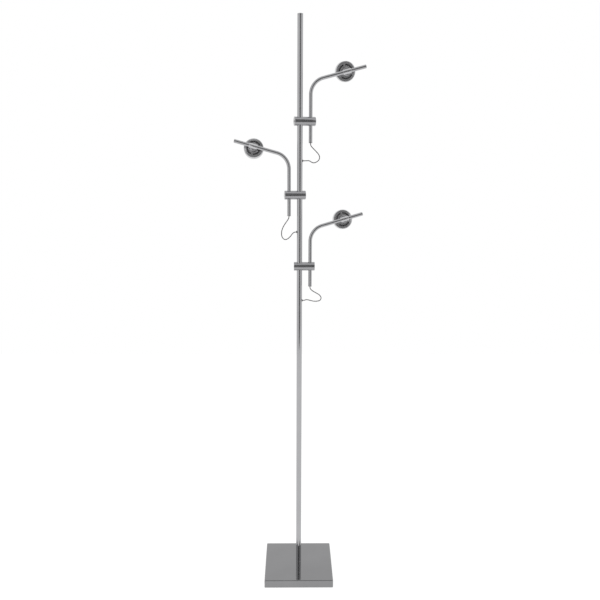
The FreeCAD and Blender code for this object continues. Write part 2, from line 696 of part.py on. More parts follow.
def build_arm(name, frame):
    """Bent tube with a ring groove in the clamp, a bush for the lead and a cap at the tip."""
    body = new_body(name + "_arm_tube")
    path = sketch_on(body, "XZ_Plane")
    add_arm_path(path)
    section = sketch_on(body, "XY_Plane", "-arm_low + bush_disc")
    add_circle(section, "arm_radius")
    add_circle(section, "arm_radius - arm_wall")
    doc.recompute()
    pipe = body.newObject("PartDesign::AdditivePipe", name + "_arm_pipe")
    pipe.Profile = section
    pipe.Spine = (path, ["Edge1", "Edge2", "Edge3"])
    doc.recompute()
    cut = sketch_on(body, "XZ_Plane")
    low, high = "-ring_half", "ring_half"
    add_polygon(cut, ring_profile("arm_radius - ring_depth", "arm_radius + ring_depth", low, high))
    before = body.Shape.Volume
    groove = body.newObject("PartDesign::Groove", name + "_ring_groove")
    groove.Profile = cut
    groove.ReferenceAxis = (cut, ["V_Axis"])
    groove.Angle = 360
    doc.recompute()
    if body.Shape.Volume >= before:
        raise RuntimeError("the ring groove cuts nothing")
    node(body, name + "_arm_tube", frame)

    profile = [
        ("core_radius", "end_spigot"),
        ("core_radius", "-bush_disc + jacket_depth"),
        ("lead_radius + jacket_gap", "-bush_disc + jacket_depth"),
        ("lead_radius + jacket_gap", "-bush_disc"),
        ("arm_radius", "-bush_disc"),
        ("arm_radius", "0"),
        ("arm_radius - arm_wall - inner_fit", "0"),
        ("arm_radius - arm_wall - inner_fit", "end_spigot"),
    ]
    bush = turned(name + "_arm_end_bush", profile)
    node(bush, name + "_arm_end_bush", frame.multiply(place(z="-arm_low + bush_disc")))

    profile = [
        ("0", "-end_spigot"),
        ("arm_radius - arm_wall - inner_fit", "-end_spigot"),
        ("arm_radius - arm_wall - inner_fit", "0"),
        ("arm_radius", "0"),
        ("arm_radius", "end_disc"),
        ("0", "end_disc"),
    ]
    lean = FreeCAD.Rotation(Y_AXIS, 90 - size("rod_rise"))
    cap = turned(name + "_arm_tip_cap", profile)
    tip_place = place(x=ROD_TIP, z=rod_point(ROD_TIP), rotation=lean)
    node(cap, name + "_arm_tip_cap", frame.multiply(tip_place))


def build_head(name, frame):
    """Collar on the rod, slotted shell, heat sink, board, lens and front rim."""
    hub = cylinder("collar_hub", "hub_radius", "head_back - hub_start", place(y="hub_start", rotation=Z_TO_Y))
    sleeve_place = place(x="-sleeve_half", rotation=Z_TO_X)
    sleeve = cylinder("collar_sleeve", "sleeve_radius", "2 * sleeve_half", sleeve_place)
    rod_hole = cylinder("collar_bore", "arm_radius + arm_bore_fit", "2 * sleeve_half", sleeve_place)
    wires = cylinder("collar_wires", "wire_hole", "head_back", place(rotation=Z_TO_Y))
    screw_low = place(z="-sleeve_radius")
    screw_length = "sleeve_radius - arm_radius - pin_gap"
    screw_hole = cylinder(
        "collar_screw_hole", "collar_screw_radius + plunger_fit", "sleeve_radius", screw_low)
    blank = fused(name + "_collar_blank", [hub, sleeve])
    collar = drilled(name + "_head_collar", blank, [rod_hole, wires, screw_hole])
    node(collar, name + "_head_collar", frame)
    screw = cylinder(name + "_collar_screw", "collar_screw_radius", screw_length)
    node(screw, name + "_collar_screw", frame.multiply(screw_low))

    inner = "head_radius - head_wall"
    wall_top = "head_depth - rim_height"
    profile = [
        ("wire_hole", "0"),
        ("head_radius", "0"),
        ("head_radius", wall_top),
        (inner, wall_top),
        (inner, "head_wall"),
        ("wire_hole", "head_wall"),
    ]
    shell = turned(name + "_head_shell", profile)
    outer = size("head_radius")
    round_edges(
        shell, "head_round",
        lambda edge: edge.BoundBox.ZMax < TINY and edge.BoundBox.XMax > outer - TINY)
    ring = cylinder("slot_ring", "slot_outer", "2 * head_wall", place(z="-head_wall / 2"))
    core = cylinder("slot_core", "slot_inner", "3 * head_wall", place(z="-head_wall"))
    count = int(size("slot_count"))
    bridges = []
    for index in range(count):
        turn = FreeCAD.Rotation(Z_AXIS, 90 + index * 360 / count)
        corner = turn.multVec(FreeCAD.Vector(0, -size("spoke_width") / 2, -size("head_wall")))
        spoke_place = FreeCAD.Placement(corner, turn)
        bridges.append(block("slot_bridge", "head_radius", "spoke_width", "3 * head_wall", spoke_place))
    slots = drilled(name + "_slots", ring, [core] + bridges)
    back = drilled(name + "_head_back", shell, [slots])
    node(back, name + "_head_back", frame.multiply(place(y="head_back", rotation=Z_TO_Y)))

    lens_high = "head_depth - rim_lip"
    lens_low = lens_high + " - lens_height"
    sink = [
        ("0", "head_wall"),
        ("sink_hub", "head_wall"),
        ("sink_hub", "sink_low"),
        ("sink_radius", "sink_low"),
        ("sink_radius", lens_low),
        ("sink_radius - sink_wall", lens_low),
        ("sink_radius - sink_wall", "sink_high"),
        ("0", "sink_high"),
    ]
    board = ring_profile("0", "board_radius", "sink_high", "sink_high + board_height")
    lens = ring_profile("0", "lens_radius", lens_low, lens_high)
    rim = [
        (inner, wall_top),
        ("head_radius", wall_top),
        ("head_radius", "head_depth"),
        ("rim_window", "head_depth"),
        ("rim_window", lens_high),
        (inner, lens_high),
    ]
    turned_in_head(name + "_heat_sink", name + "_heat_sink", sink, frame)
    turned_in_head(name + "_led_board", name + "_led_board", board, frame)
    turned_in_head(name + "_lens", name + "_lens", lens, frame)
    turned_in_head(name + "_head_rim", name + "_head_rim", rim, frame)


# ---------------------------------------------------------------- leads


def lead_route(arm):
    """Return a lead's points in the clamp's axes, from inside the bush to inside the grommet."""
    points = [FreeCAD.Vector(*point) for point in arm["route"]]
    depth = size("jacket_depth")
    points[0] = points[0] + (points[0] - points[1]).normalize() * depth
    points[-1] = points[-1] + (points[-1] - points[-2]).normalize() * depth
    return points


def rounded_path(points):
    """Return the edges of straight runs joined by tangent arcs, and the arcs' radii."""
    edges = []
    radii = []
    last = points[0]
    for before, corner, after in zip(points, points[1:], points[2:]):
        run_in = corner - before
        run_out = after - corner
        reach = ARC_SHARE * min(run_in.Length, run_out.Length)
        turn = run_in.getAngle(run_out)
        radius = reach / math.tan(turn / 2)
        toward = FreeCAD.Vector(run_in).normalize()
        away = FreeCAD.Vector(run_out).normalize()
        arc_start = corner - toward * reach
        arc_end = corner + away * reach
        inward = (away - toward).normalize()
        middle = corner + inward * (radius / math.cos(turn / 2) - radius)
        edges.append(Part.LineSegment(last, arc_start).toShape())
        edges.append(Part.Arc(arc_start, middle, arc_end).toShape())
        radii.append(radius)
        last = arc_end
    edges.append(Part.LineSegment(last, points[-1]).toShape())
    return edges, radii


def build_lead(name, arm, frame):
    """Thin limp lead from the arm's lower end, in a loop, to its hole in the pole."""
    points = lead_route(arm)
    edges, radii = rounded_path(points)
    path = Part.Wire(edges)
    radius = size("lead_radius")
    ring = Part.Wire(Part.Circle(points[0], points[1] - points[0], radius).toShape())
    tube = path.makePipeShell([ring], True, False)
    item = doc.addObject("Part::Feature", name + "_lead")
    item.Shape = tube
    node(item, name + "_lead", frame)
    expected = math.pi * radius ** 2 * path.Length
    if abs(tube.Volume / expected - 1) > 0.01:
        raise RuntimeError("%s_lead: volume %.1f, expected %.1f" % (name, tube.Volume, expected))
    print("%s_lead: length %.1f, least radius %.1f, radii %s" % (
        name, path.Length, min(radii), [round(value, 1) for value in radii]))


# ---------------------------------------------------------------- whole lamp

build_base_cover()
build_ballast()
build_bottom_plate()
build_felt()
build_driver()
build_gland()
build_tie()
build_pole()
build_grommets()
build_riser()
for arm_name, arm_data in ARMS.items():
    build_clamp(arm_name, clamp_frame(arm_data))
    build_arm(arm_name, arm_frame(arm_data))
    build_head(arm_name, head_frame(arm_data))
    build_lead(arm_name, arm_data, clamp_frame(arm_data))
doc.recompute()

for item in doc.Objects:
    if "Invalid" in item.State or "Error" in item.State:
        raise RuntimeError("%s failed: %s" % (item.Name, item.State))

os.makedirs("parts", exist_ok=True)
for item in nodes:
    shape = item.Shape
    if shape.isNull() or not shape.isValid() or not shape.Solids:
        raise RuntimeError("%s has no valid shape" % item.Label)
    shape.exportStep(os.path.join("parts", item.Label + ".step"))
print("%d sub-parts written" % len(nodes))
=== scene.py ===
"""The looks of a chromed tree floor lamp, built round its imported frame, in metres.

Pieces are modelled in millimetres in the own axes of a clamp, an arm or a head, and a matrix then
puts each mesh in its place in the lamp's frame. Where a clamp, an arm or a head is comes from the
frame's joints.
"""

import json
import logging
import math
from dataclasses import dataclass, field
from enum import Enum
from typing import Callable, Iterable, Protocol, Sequence

import bmesh
import bpy
from mathutils import Matrix, Vector


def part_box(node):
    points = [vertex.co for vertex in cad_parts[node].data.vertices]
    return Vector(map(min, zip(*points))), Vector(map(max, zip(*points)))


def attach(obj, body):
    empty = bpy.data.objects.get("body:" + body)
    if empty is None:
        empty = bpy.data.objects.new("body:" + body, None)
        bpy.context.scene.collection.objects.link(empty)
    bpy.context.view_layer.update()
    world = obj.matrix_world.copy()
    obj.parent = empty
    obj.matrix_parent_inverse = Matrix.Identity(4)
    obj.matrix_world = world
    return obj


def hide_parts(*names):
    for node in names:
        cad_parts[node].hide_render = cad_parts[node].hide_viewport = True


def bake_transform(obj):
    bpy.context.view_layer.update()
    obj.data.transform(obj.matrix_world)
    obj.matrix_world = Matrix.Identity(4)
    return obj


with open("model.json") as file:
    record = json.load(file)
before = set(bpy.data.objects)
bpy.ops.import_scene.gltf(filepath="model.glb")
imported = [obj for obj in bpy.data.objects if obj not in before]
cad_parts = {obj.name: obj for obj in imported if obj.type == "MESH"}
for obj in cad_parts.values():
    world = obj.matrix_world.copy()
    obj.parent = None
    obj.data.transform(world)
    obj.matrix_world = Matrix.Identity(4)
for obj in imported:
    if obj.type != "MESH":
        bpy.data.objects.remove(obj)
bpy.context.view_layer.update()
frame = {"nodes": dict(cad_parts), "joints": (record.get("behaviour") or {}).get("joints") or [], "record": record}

MM = 0.001
FULL_TURN = 2 * math.pi
Point = tuple[float, float, float]
Profile = Sequence[tuple[float, float]]
log = logging.getLogger("lamp")


# ------------------------------------------------------------------ finishes


class Shader:
    """A new material and what adds nodes to it."""

    def __init__(self, name: str) -> None:
        """Make the material with its shader.

        Args:
            name: the material's name.
        """
        self.material = bpy.data.materials.new(name)
        self.material.use_nodes = True
        self.tree = self.material.node_tree
        self.surface = self.tree.nodes["Principled BSDF"]
        self.place = self.tree.nodes.new("ShaderNodeTexCoord").outputs["Object"]

    def set(self, **values: object) -> None:
        """Set plain values on the shader's own sockets; an underscore stands for a space."""
        for name, value in values.items():
            self.surface.inputs[name.replace("_", " ")].default_value = value

    def link(self, source: bpy.types.NodeSocket, target: str) -> None:
        """Link a value to one of the shader's sockets."""
        self.tree.links.new(source, self.surface.inputs[target])

    def noise(self, scale: float, detail: float = 3.0, stretch: Point = (1, 1, 1)) -> bpy.types.NodeSocket:
        """Add noise over the object.

        Args:
            scale: waves per metre.
            detail: finer octaves.
            stretch: how much each axis is pressed together.

        Returns:
            The noise from 0 to 1.
        """
        mapping = self.tree.nodes.new("ShaderNodeMapping")
        mapping.inputs["Scale"].default_value = stretch
        texture = self.tree.nodes.new("ShaderNodeTexNoise")
        texture.inputs["Scale"].default_value = scale
        texture.inputs["Detail"].default_value = detail
        self.tree.links.new(self.place, mapping.inputs["Vector"])
        self.tree.links.new(mapping.outputs["Vector"], texture.inputs["Vector"])
        return texture.outputs["Fac"]

    def cells(self, scale: float) -> bpy.types.NodeSocket:
        """Add small rounded cells over the object and return the distance to their middles."""
        texture = self.tree.nodes.new("ShaderNodeTexVoronoi")
        texture.inputs["Scale"].default_value = scale
        self.tree.links.new(self.place, texture.inputs["Vector"])
        return texture.outputs["Distance"]

    def spread(self, value: bpy.types.NodeSocket, low: float, high: float,
               start: float = 0.3, end: float = 0.7) -> bpy.types.NodeSocket:
        """Bring a value from the range start to end into the range low to high."""
        node = self.tree.nodes.new("ShaderNodeMapRange")
        for name, number in (("From Min", start), ("From Max", end), ("To Min", low), ("To Max", high)):
            node.inputs[name].default_value = number
        self.tree.links.new(value, node.inputs["Value"])
        return node.outputs["Result"]

    def mix(self, share: bpy.types.NodeSocket, first: Point, second: Point) -> bpy.types.NodeSocket:
        """Mix two colours by a value."""
        node = self.tree.nodes.new("ShaderNodeMix")
        node.data_type = "RGBA"
        node.inputs["A"].default_value = (*first, 1)
        node.inputs["B"].default_value = (*second, 1)
        self.tree.links.new(share, node.inputs["Factor"])
        return node.outputs["Result"]

    def bump(self, height: bpy.types.NodeSocket, depth: float) -> None:
        """Raise the surface by a height from 0 to 1 times a depth in metres."""
        node = self.tree.nodes.new("ShaderNodeBump")
        node.inputs["Distance"].default_value = depth
        self.tree.links.new(height, node.inputs["Height"])
        before = self.surface.inputs["Normal"]
        if before.is_linked:
            self.tree.links.new(before.links[0].from_socket, node.inputs["Normal"])
        self.tree.links.new(node.outputs["Normal"], before)


class Finish(Protocol):
    """What every finish has: a name and a way to build its material."""

    name: str

    def build(self) -> bpy.types.Material:
        """Return the material."""


def scaled(tone: Point, share: float) -> Point:
    """Return a colour made darker or lighter by a share."""
    return tuple(min(1.0, channel * share) for channel in tone)


@dataclass(frozen=True)
class PolishedMetal:
    """Bright plate: nearly a mirror, with polishing lines, slow waves and a little haze."""

    name: str
    tone: Point
    roughness: float = 0.07
    haze: float = 0.06
    lines: Point = (1, 1, 1)
    wave_depth: float = 0.00002
    wave_scale: float = 14.0

    def build(self) -> bpy.types.Material:
        """Return the material."""
        shader = Shader(self.name)
        shader.set(Metallic=1.0)
        cloud = shader.noise(9.0, 4.0)
        shader.link(shader.mix(shader.spread(cloud, 0, 1), self.tone, scaled(self.tone, 0.93)), "Base Color")
        lines = shader.noise(900.0, 2.0, self.lines)
        shader.link(shader.spread(lines, self.roughness, self.roughness + self.haze), "Roughness")
        shader.bump(shader.noise(self.wave_scale, 1.0), self.wave_depth)
        return shader.material


@dataclass(frozen=True)
class TurnedSteel:
    """Bare or zinc plated steel with fine turning lines."""

    name: str
    tone: Point
    roughness: float = 0.3
    line_scale: float = 1500.0

    def build(self) -> bpy.types.Material:
        """Return the material."""
        shader = Shader(self.name)
        shader.set(Metallic=1.0)
        cloud = shader.noise(60.0)
        shader.link(shader.mix(shader.spread(cloud, 0, 1), self.tone, scaled(self.tone, 0.8)), "Base Color")
        lines = shader.noise(self.line_scale, 2.0, (0.2, 0.2, 3))
        shader.link(shader.spread(lines, self.roughness, self.roughness + 0.15), "Roughness")
        shader.bump(lines, 0.00001)
        return shader.material


@dataclass(frozen=True)
class CoatedMetal:
    """Painted, anodised or cast surface with a fine orange-peel or sand grain."""

    name: str
    tone: Point
    roughness: float
    grain: float
    grain_depth: float
    metallic: float = 0.0

    def build(self) -> bpy.types.Material:
        """Return the material."""
        shader = Shader(self.name)
        shader.set(Metallic=self.metallic)
        cloud = shader.noise(40.0, 5.0)
        shader.link(shader.mix(shader.spread(cloud, 0, 1), self.tone, scaled(self.tone, 1.35)), "Base Color")
        grain = shader.noise(self.grain, 3.0)
        shader.link(shader.spread(grain, self.roughness, self.roughness + 0.12), "Roughness")
        shader.bump(grain, self.grain_depth)
        return shader.material


@dataclass(frozen=True)
class MouldedPlastic:
    """Moulded plastic or rubber with a spark-eroded grain."""

    name: str
    tone: Point
    roughness: float = 0.45
    grain: float = 1800.0
    grain_depth: float = 0.00002

    def build(self) -> bpy.types.Material:
        """Return the material."""
        shader = Shader(self.name)
        cloud = shader.noise(70.0)
        shader.link(shader.mix(shader.spread(cloud, 0, 1), self.tone, scaled(self.tone, 1.2)), "Base Color")
        shader.link(shader.spread(cloud, self.roughness, self.roughness + 0.1), "Roughness")
        shader.bump(shader.cells(self.grain), self.grain_depth)
        return shader.material


@dataclass(frozen=True)
class DenseFelt:
    """Pressed felt: short tangled fibres with a soft sheen."""

    name: str
    tone: Point

    def build(self) -> bpy.types.Material:
        """Return the material."""
        shader = Shader(self.name)
        shader.set(Roughness=0.95, Sheen_Weight=0.3, Sheen_Roughness=0.5)
        fibres = shader.noise(1400.0, 8.0)
        shader.link(shader.mix(shader.spread(fibres, 0, 1), self.tone, scaled(self.tone, 2.2)), "Base Color")
        shader.bump(fibres, 0.0002)
        return shader.material


@dataclass(frozen=True)
class OpalLens:
    """Milky diffuser with a satin skin."""

    name: str
    tone: Point

    def build(self) -> bpy.types.Material:
        """Return the material."""
        shader = Shader(self.name)
        shader.set(Roughness=0.35)
        cloud = shader.noise(120.0)
        shader.link(shader.mix(shader.spread(cloud, 0, 1), self.tone, scaled(self.tone, 0.97)), "Base Color")
        shader.bump(shader.noise(2500.0, 2.0), 0.00001)
        return shader.material


@dataclass(frozen=True)
class LightBoard:
    """White board with rows of small yellow light sources."""

    name: str
    tone: Point
    source_tone: Point
    pitch: float

    def build(self) -> bpy.types.Material:
        """Return the material."""
        shader = Shader(self.name)
        shader.set(Roughness=0.3)
        dots = shader.spread(shader.cells(self.pitch), 1, 0, 0.18, 0.22)
        shader.link(shader.mix(dots, self.tone, self.source_tone), "Base Color")
        shader.bump(dots, 0.0003)
        return shader.material


class Slot(Enum):
    """The record's material slots."""

    CHROME = "polished_chrome"
    CLAMP = "clamp_chrome"
    HEAD = "head_chrome"
    IRON = "cast_iron"
    BLACK_STEEL = "black_steel"
    FELT = "black_felt"
    ZINC = "zinc_steel"
    SATIN = "satin_steel"
    PLASTIC = "black_plastic"
    RUBBER = "black_rubber"
    LEAD = "lead_jacket"
    NYLON = "nylon"
    ANODISED = "black_aluminium"
    BOARD = "white_board"
    LENS = "opal_lens"


FINISHES: dict[Slot, Finish] = {
    # The tube's and the clamp's chrome are darker copies of the head's chrome: painted shade, their lower tones
    # stand in for the darker reflections they show.
    Slot.CHROME: PolishedMetal("chromed_tube_painted_shade", (0.42, 0.42, 0.43), 0.05, 0.05, (1, 1, 0.02)),
    Slot.CLAMP: PolishedMetal(
        "chromed_clamp_painted_shade", (0.34, 0.34, 0.35), 0.09, 0.06, wave_depth=0.000006),
    Slot.HEAD: PolishedMetal("chromed_head", (0.55, 0.55, 0.56), 0.12, 0.08),
    Slot.IRON: CoatedMetal("grey_cast_iron", (0.07, 0.07, 0.075), 0.6, 500.0, 0.0002),
    Slot.BLACK_STEEL: CoatedMetal("blackened_steel", (0.03, 0.03, 0.032), 0.4, 900.0, 0.00002),
    Slot.FELT: DenseFelt("black_base_felt", (0.02, 0.02, 0.02)),
    Slot.ZINC: TurnedSteel("zinc_plate", (0.5, 0.5, 0.48)),
    Slot.SATIN: TurnedSteel("turned_steel", (0.62, 0.62, 0.62), 0.22),
    Slot.PLASTIC: MouldedPlastic("black_moulding", (0.02, 0.02, 0.021)),
    Slot.RUBBER: MouldedPlastic("black_grommet_rubber", (0.025, 0.025, 0.025), 0.6),
    Slot.LEAD: MouldedPlastic("grey_lead_jacket", (0.04, 0.04, 0.042), 0.4, 2500.0, 0.00001),
    Slot.NYLON: MouldedPlastic("natural_nylon", (0.62, 0.61, 0.57), 0.5),
    Slot.ANODISED: CoatedMetal("black_anodised", (0.14, 0.14, 0.145), 0.35, 1200.0, 0.00001, 0.6),
    Slot.BOARD: LightBoard("light_board", (0.8, 0.8, 0.78), (0.8, 0.6, 0.1), 160.0),
    Slot.LENS: OpalLens("opal_diffuser", (0.82, 0.82, 0.80)),
}
# The base cover's chrome is a darker copy of the chrome: painted shade, its low tone stands in for the darker
# floor and room that its sides mirror.
BASE_FINISH_PAINTED_SHADE = PolishedMetal("chromed_sheet_painted_shade", (0.27, 0.27, 0.275), 0.06, 0.05, (1, 1, 1), 0.00003, 9.0)
made_materials: dict[str, bpy.types.Material] = {}


def material_of(finish: Finish) -> bpy.types.Material:
    """Return a finish's material, built once."""
    if finish.name not in made_materials:
        made_materials[finish.name] = finish.build()
    return made_materials[finish.name]


# ------------------------------------------------------------------ mesh tools


def turned(profile: Profile, steps: int = 96) -> bmesh.types.BMesh:
    """Turn a profile about the Z axis into a closed solid.

    Args:
        profile: (radius, height) points in order; a profile off the axis is closed to a ring.
        steps: faces round the axis.

    Returns:
        The solid, in millimetres.
    """
    solid = bmesh.new()
    points = [solid.verts.new((radius, 0, height)) for radius, height in profile]
    edges = [solid.edges.new(pair) for pair in zip(points, points[1:])]
    if profile[0][0] > 0:
        edges.append(solid.edges.new((points[-1], points[0])))
    bmesh.ops.spin(
        solid, geom=points + edges, cent=(0, 0, 0), axis=(0, 0, 1), angle=FULL_TURN,
        steps=steps, use_merge=True)
    bmesh.ops.remove_doubles(solid, verts=solid.verts, dist=0.001)
    bmesh.ops.recalc_face_normals(solid, faces=solid.faces)
    return solid


def ring(inner: float, outer: float, low: float, high: float) -> Profile:
    """Return the profile of a plain ring, tube or, without an inner radius, a disc."""
    if inner == 0:
        return [(0, low), (outer, low), (outer, high), (0, high)]
    return [(inner, low), (outer, low), (outer, high), (inner, high)]


def rod(radius: float, low: float, high: float, steps: int = 96) -> bmesh.types.BMesh:
    """Return a plain round rod along Z."""
    return turned(ring(0, radius, low, high), steps)


def box(size: Point, middle: Point) -> bmesh.types.BMesh:
    """Return a plain box about its middle."""
    solid = bmesh.new()
    bmesh.ops.create_cube(solid, size=1, matrix=Matrix.Translation(middle) @ Matrix.Diagonal((*size, 1)))
    return solid


def hexagon(flats: float, low: float, high: float) -> bmesh.types.BMesh:
    """Return a hexagonal prism along Z by its width across the flats."""
    return rod(flats / math.sqrt(3), low, high, 6)


def soften(solid: bmesh.types.BMesh, width: float, segments: int = 3,
           where: Callable[[bmesh.types.BMEdge], bool] | None = None) -> bmesh.types.BMesh:
    """Round the solid's sharp edges.

    Args:
        solid: the solid to change.
        width: how far the rounding reaches from an edge, in millimetres.
        segments: faces across the rounding.
        where: a test that an edge must pass as well.

    Returns:
        The same solid.
    """
    sharp = [
        edge for edge in solid.edges
        if len(edge.link_faces) == 2
        and edge.calc_face_angle(0) > math.radians(35)
        and (where is None or where(edge))
    ]
    bmesh.ops.bevel(
        solid, geom=sharp, offset=width, offset_type="OFFSET", segments=segments,
        profile=0.5, affect="EDGES", clamp_overlap=True, material=-1)
    return solid


def moved(solid: bmesh.types.BMesh, matrix: Matrix) -> bmesh.types.BMesh:
    """Move or turn a solid and return it."""
    bmesh.ops.transform(solid, matrix=matrix, verts=solid.verts)
    return solid


def joined(solids: Iterable[bmesh.types.BMesh]) -> bmesh.types.BMesh:
    """Put separate solids into one mesh."""
    whole = bmesh.new()
    for solid in solids:
        mesh = bpy.data.meshes.new("part")
        solid.to_mesh(mesh)
        solid.free()
        whole.from_mesh(mesh)
        bpy.data.meshes.remove(mesh)
    return whole


def scratch_object(solid: bmesh.types.BMesh) -> bpy.types.Object:
    """Put a solid into a linked object that is deleted later."""
    mesh = bpy.data.meshes.new("scratch")
    solid.to_mesh(mesh)
    solid.free()
    item = bpy.data.objects.new("scratch", mesh)
    bpy.context.scene.collection.objects.link(item)
    return item


def walled(solid: bmesh.types.BMesh, thickness: float, even: bool = False) -> bmesh.types.BMesh:
    """Give an open skin its wall, inwards.

    Args:
        solid: the skin.
        thickness: the wall, in millimetres.
        even: whether the wall stays as thick at sharp corners.

    Returns:
        The walled solid.
    """
    item = scratch_object(solid)
    modifier = item.modifiers.new("wall", "SOLIDIFY")
    modifier.thickness = thickness
    modifier.offset = -1
    modifier.use_even_offset = even
    bpy.context.view_layer.update()
    mesh = bpy.data.meshes.new_from_object(item.evaluated_get(bpy.context.evaluated_depsgraph_get()))
    result = bmesh.new()
    result.from_mesh(mesh)
    bpy.data.objects.remove(item)
    bpy.data.meshes.remove(mesh)
    return result


def combined(solid: bmesh.types.BMesh, others: Sequence[bmesh.types.BMesh], how: str) -> bmesh.types.BMesh:
    """Cut other solids out of one, or add them to it.

    Args:
        solid: the first solid.
        others: what is cut out or added, one after another.
        how: DIFFERENCE or UNION.

    Returns:
        The new solid.
    """
    item = scratch_object(solid)
    tools = [scratch_object(other) for other in others]
    for tool in tools:
        modifier = item.modifiers.new("tool", "BOOLEAN")
        modifier.operation = how
        modifier.solver = "EXACT"
        modifier.object = tool
    bpy.context.view_layer.update()
    evaluated = item.evaluated_get(bpy.context.evaluated_depsgraph_get())
    mesh = bpy.data.meshes.new_from_object(evaluated)
    result = bmesh.new()
    result.from_mesh(mesh)
    for scratch in [item, *tools]:
        old = scratch.data
        bpy.data.objects.remove(scratch)
        bpy.data.meshes.remove(old)
    bpy.data.meshes.remove(mesh)
    bmesh.ops.remove_doubles(result, verts=result.verts, dist=0.001)
    bmesh.ops.dissolve_degenerate(result, edges=result.edges, dist=0.001)
    return result


def finished(name: str, solid: bmesh.types.BMesh, place: Matrix, finish: Finish,
             smooth_angle: float = 32.0) -> bpy.types.Object:
    """Make a piece from a solid in millimetres.

    Args:
        name: the piece's name.
        solid: its shape in its own axes.
        place: those axes in the lamp's frame, in metres.
        finish: what the piece is finished in.
        smooth_angle: edges sharper than this, in degrees, stay sharp.

    Returns:
        The piece, at the origin.
    """
    bmesh.ops.transform(solid, matrix=place @ Matrix.Scale(MM, 4), verts=solid.verts)
    mesh = bpy.data.meshes.new(name)
    solid.to_mesh(mesh)
    solid.free()
    mesh.shade_smooth()
    mesh.set_sharp_from_angle(angle=math.radians(smooth_angle))
    mesh.materials.append(material_of(finish))
    piece = bpy.data.objects.new(name, mesh)
    bpy.context.scene.collection.objects.link(piece)
    return piece


def fit(name: str, solid: bmesh.types.BMesh, place: Matrix, slot: Slot, body: str, *nodes: str,
        finish: Finish | None = None, smooth_angle: float = 32.0) -> bpy.types.Object:
    """Make a piece, let it ride on a body, and let it stand for CAD nodes."""
    piece = finished(name, solid, place, finish or FINISHES[slot], smooth_angle)
    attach(piece, body)
    if nodes:
        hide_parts(*nodes)
    log.info("%s: %d faces", name, len(piece.data.polygons))
    return piece


def axes(origin: Vector, x: Vector, y: Vector, z: Vector) -> Matrix:
    """Return the matrix of own axes at a place in the lamp's frame."""
    turn = Matrix((x, y, z)).transposed()
    return Matrix.Translation(origin) @ turn.to_4x4()


ALONG_X = Matrix(((0, 0, 1, 0), (0, 1, 0, 0), (-1, 0, 0, 0), (0, 0, 0, 1)))
ALONG_Y = Matrix(((-1, 0, 0, 0), (0, 0, 1, 0), (0, 1, 0, 0), (0, 0, 0, 1)))
UP = Vector((0, 0, 1))


def shift(x: float = 0, y: float = 0, z: float = 0) -> Matrix:
    """Return a move by millimetres in a piece's own axes."""
    return Matrix.Translation((x, y, z))


# ------------------------------------------------------------------ stand


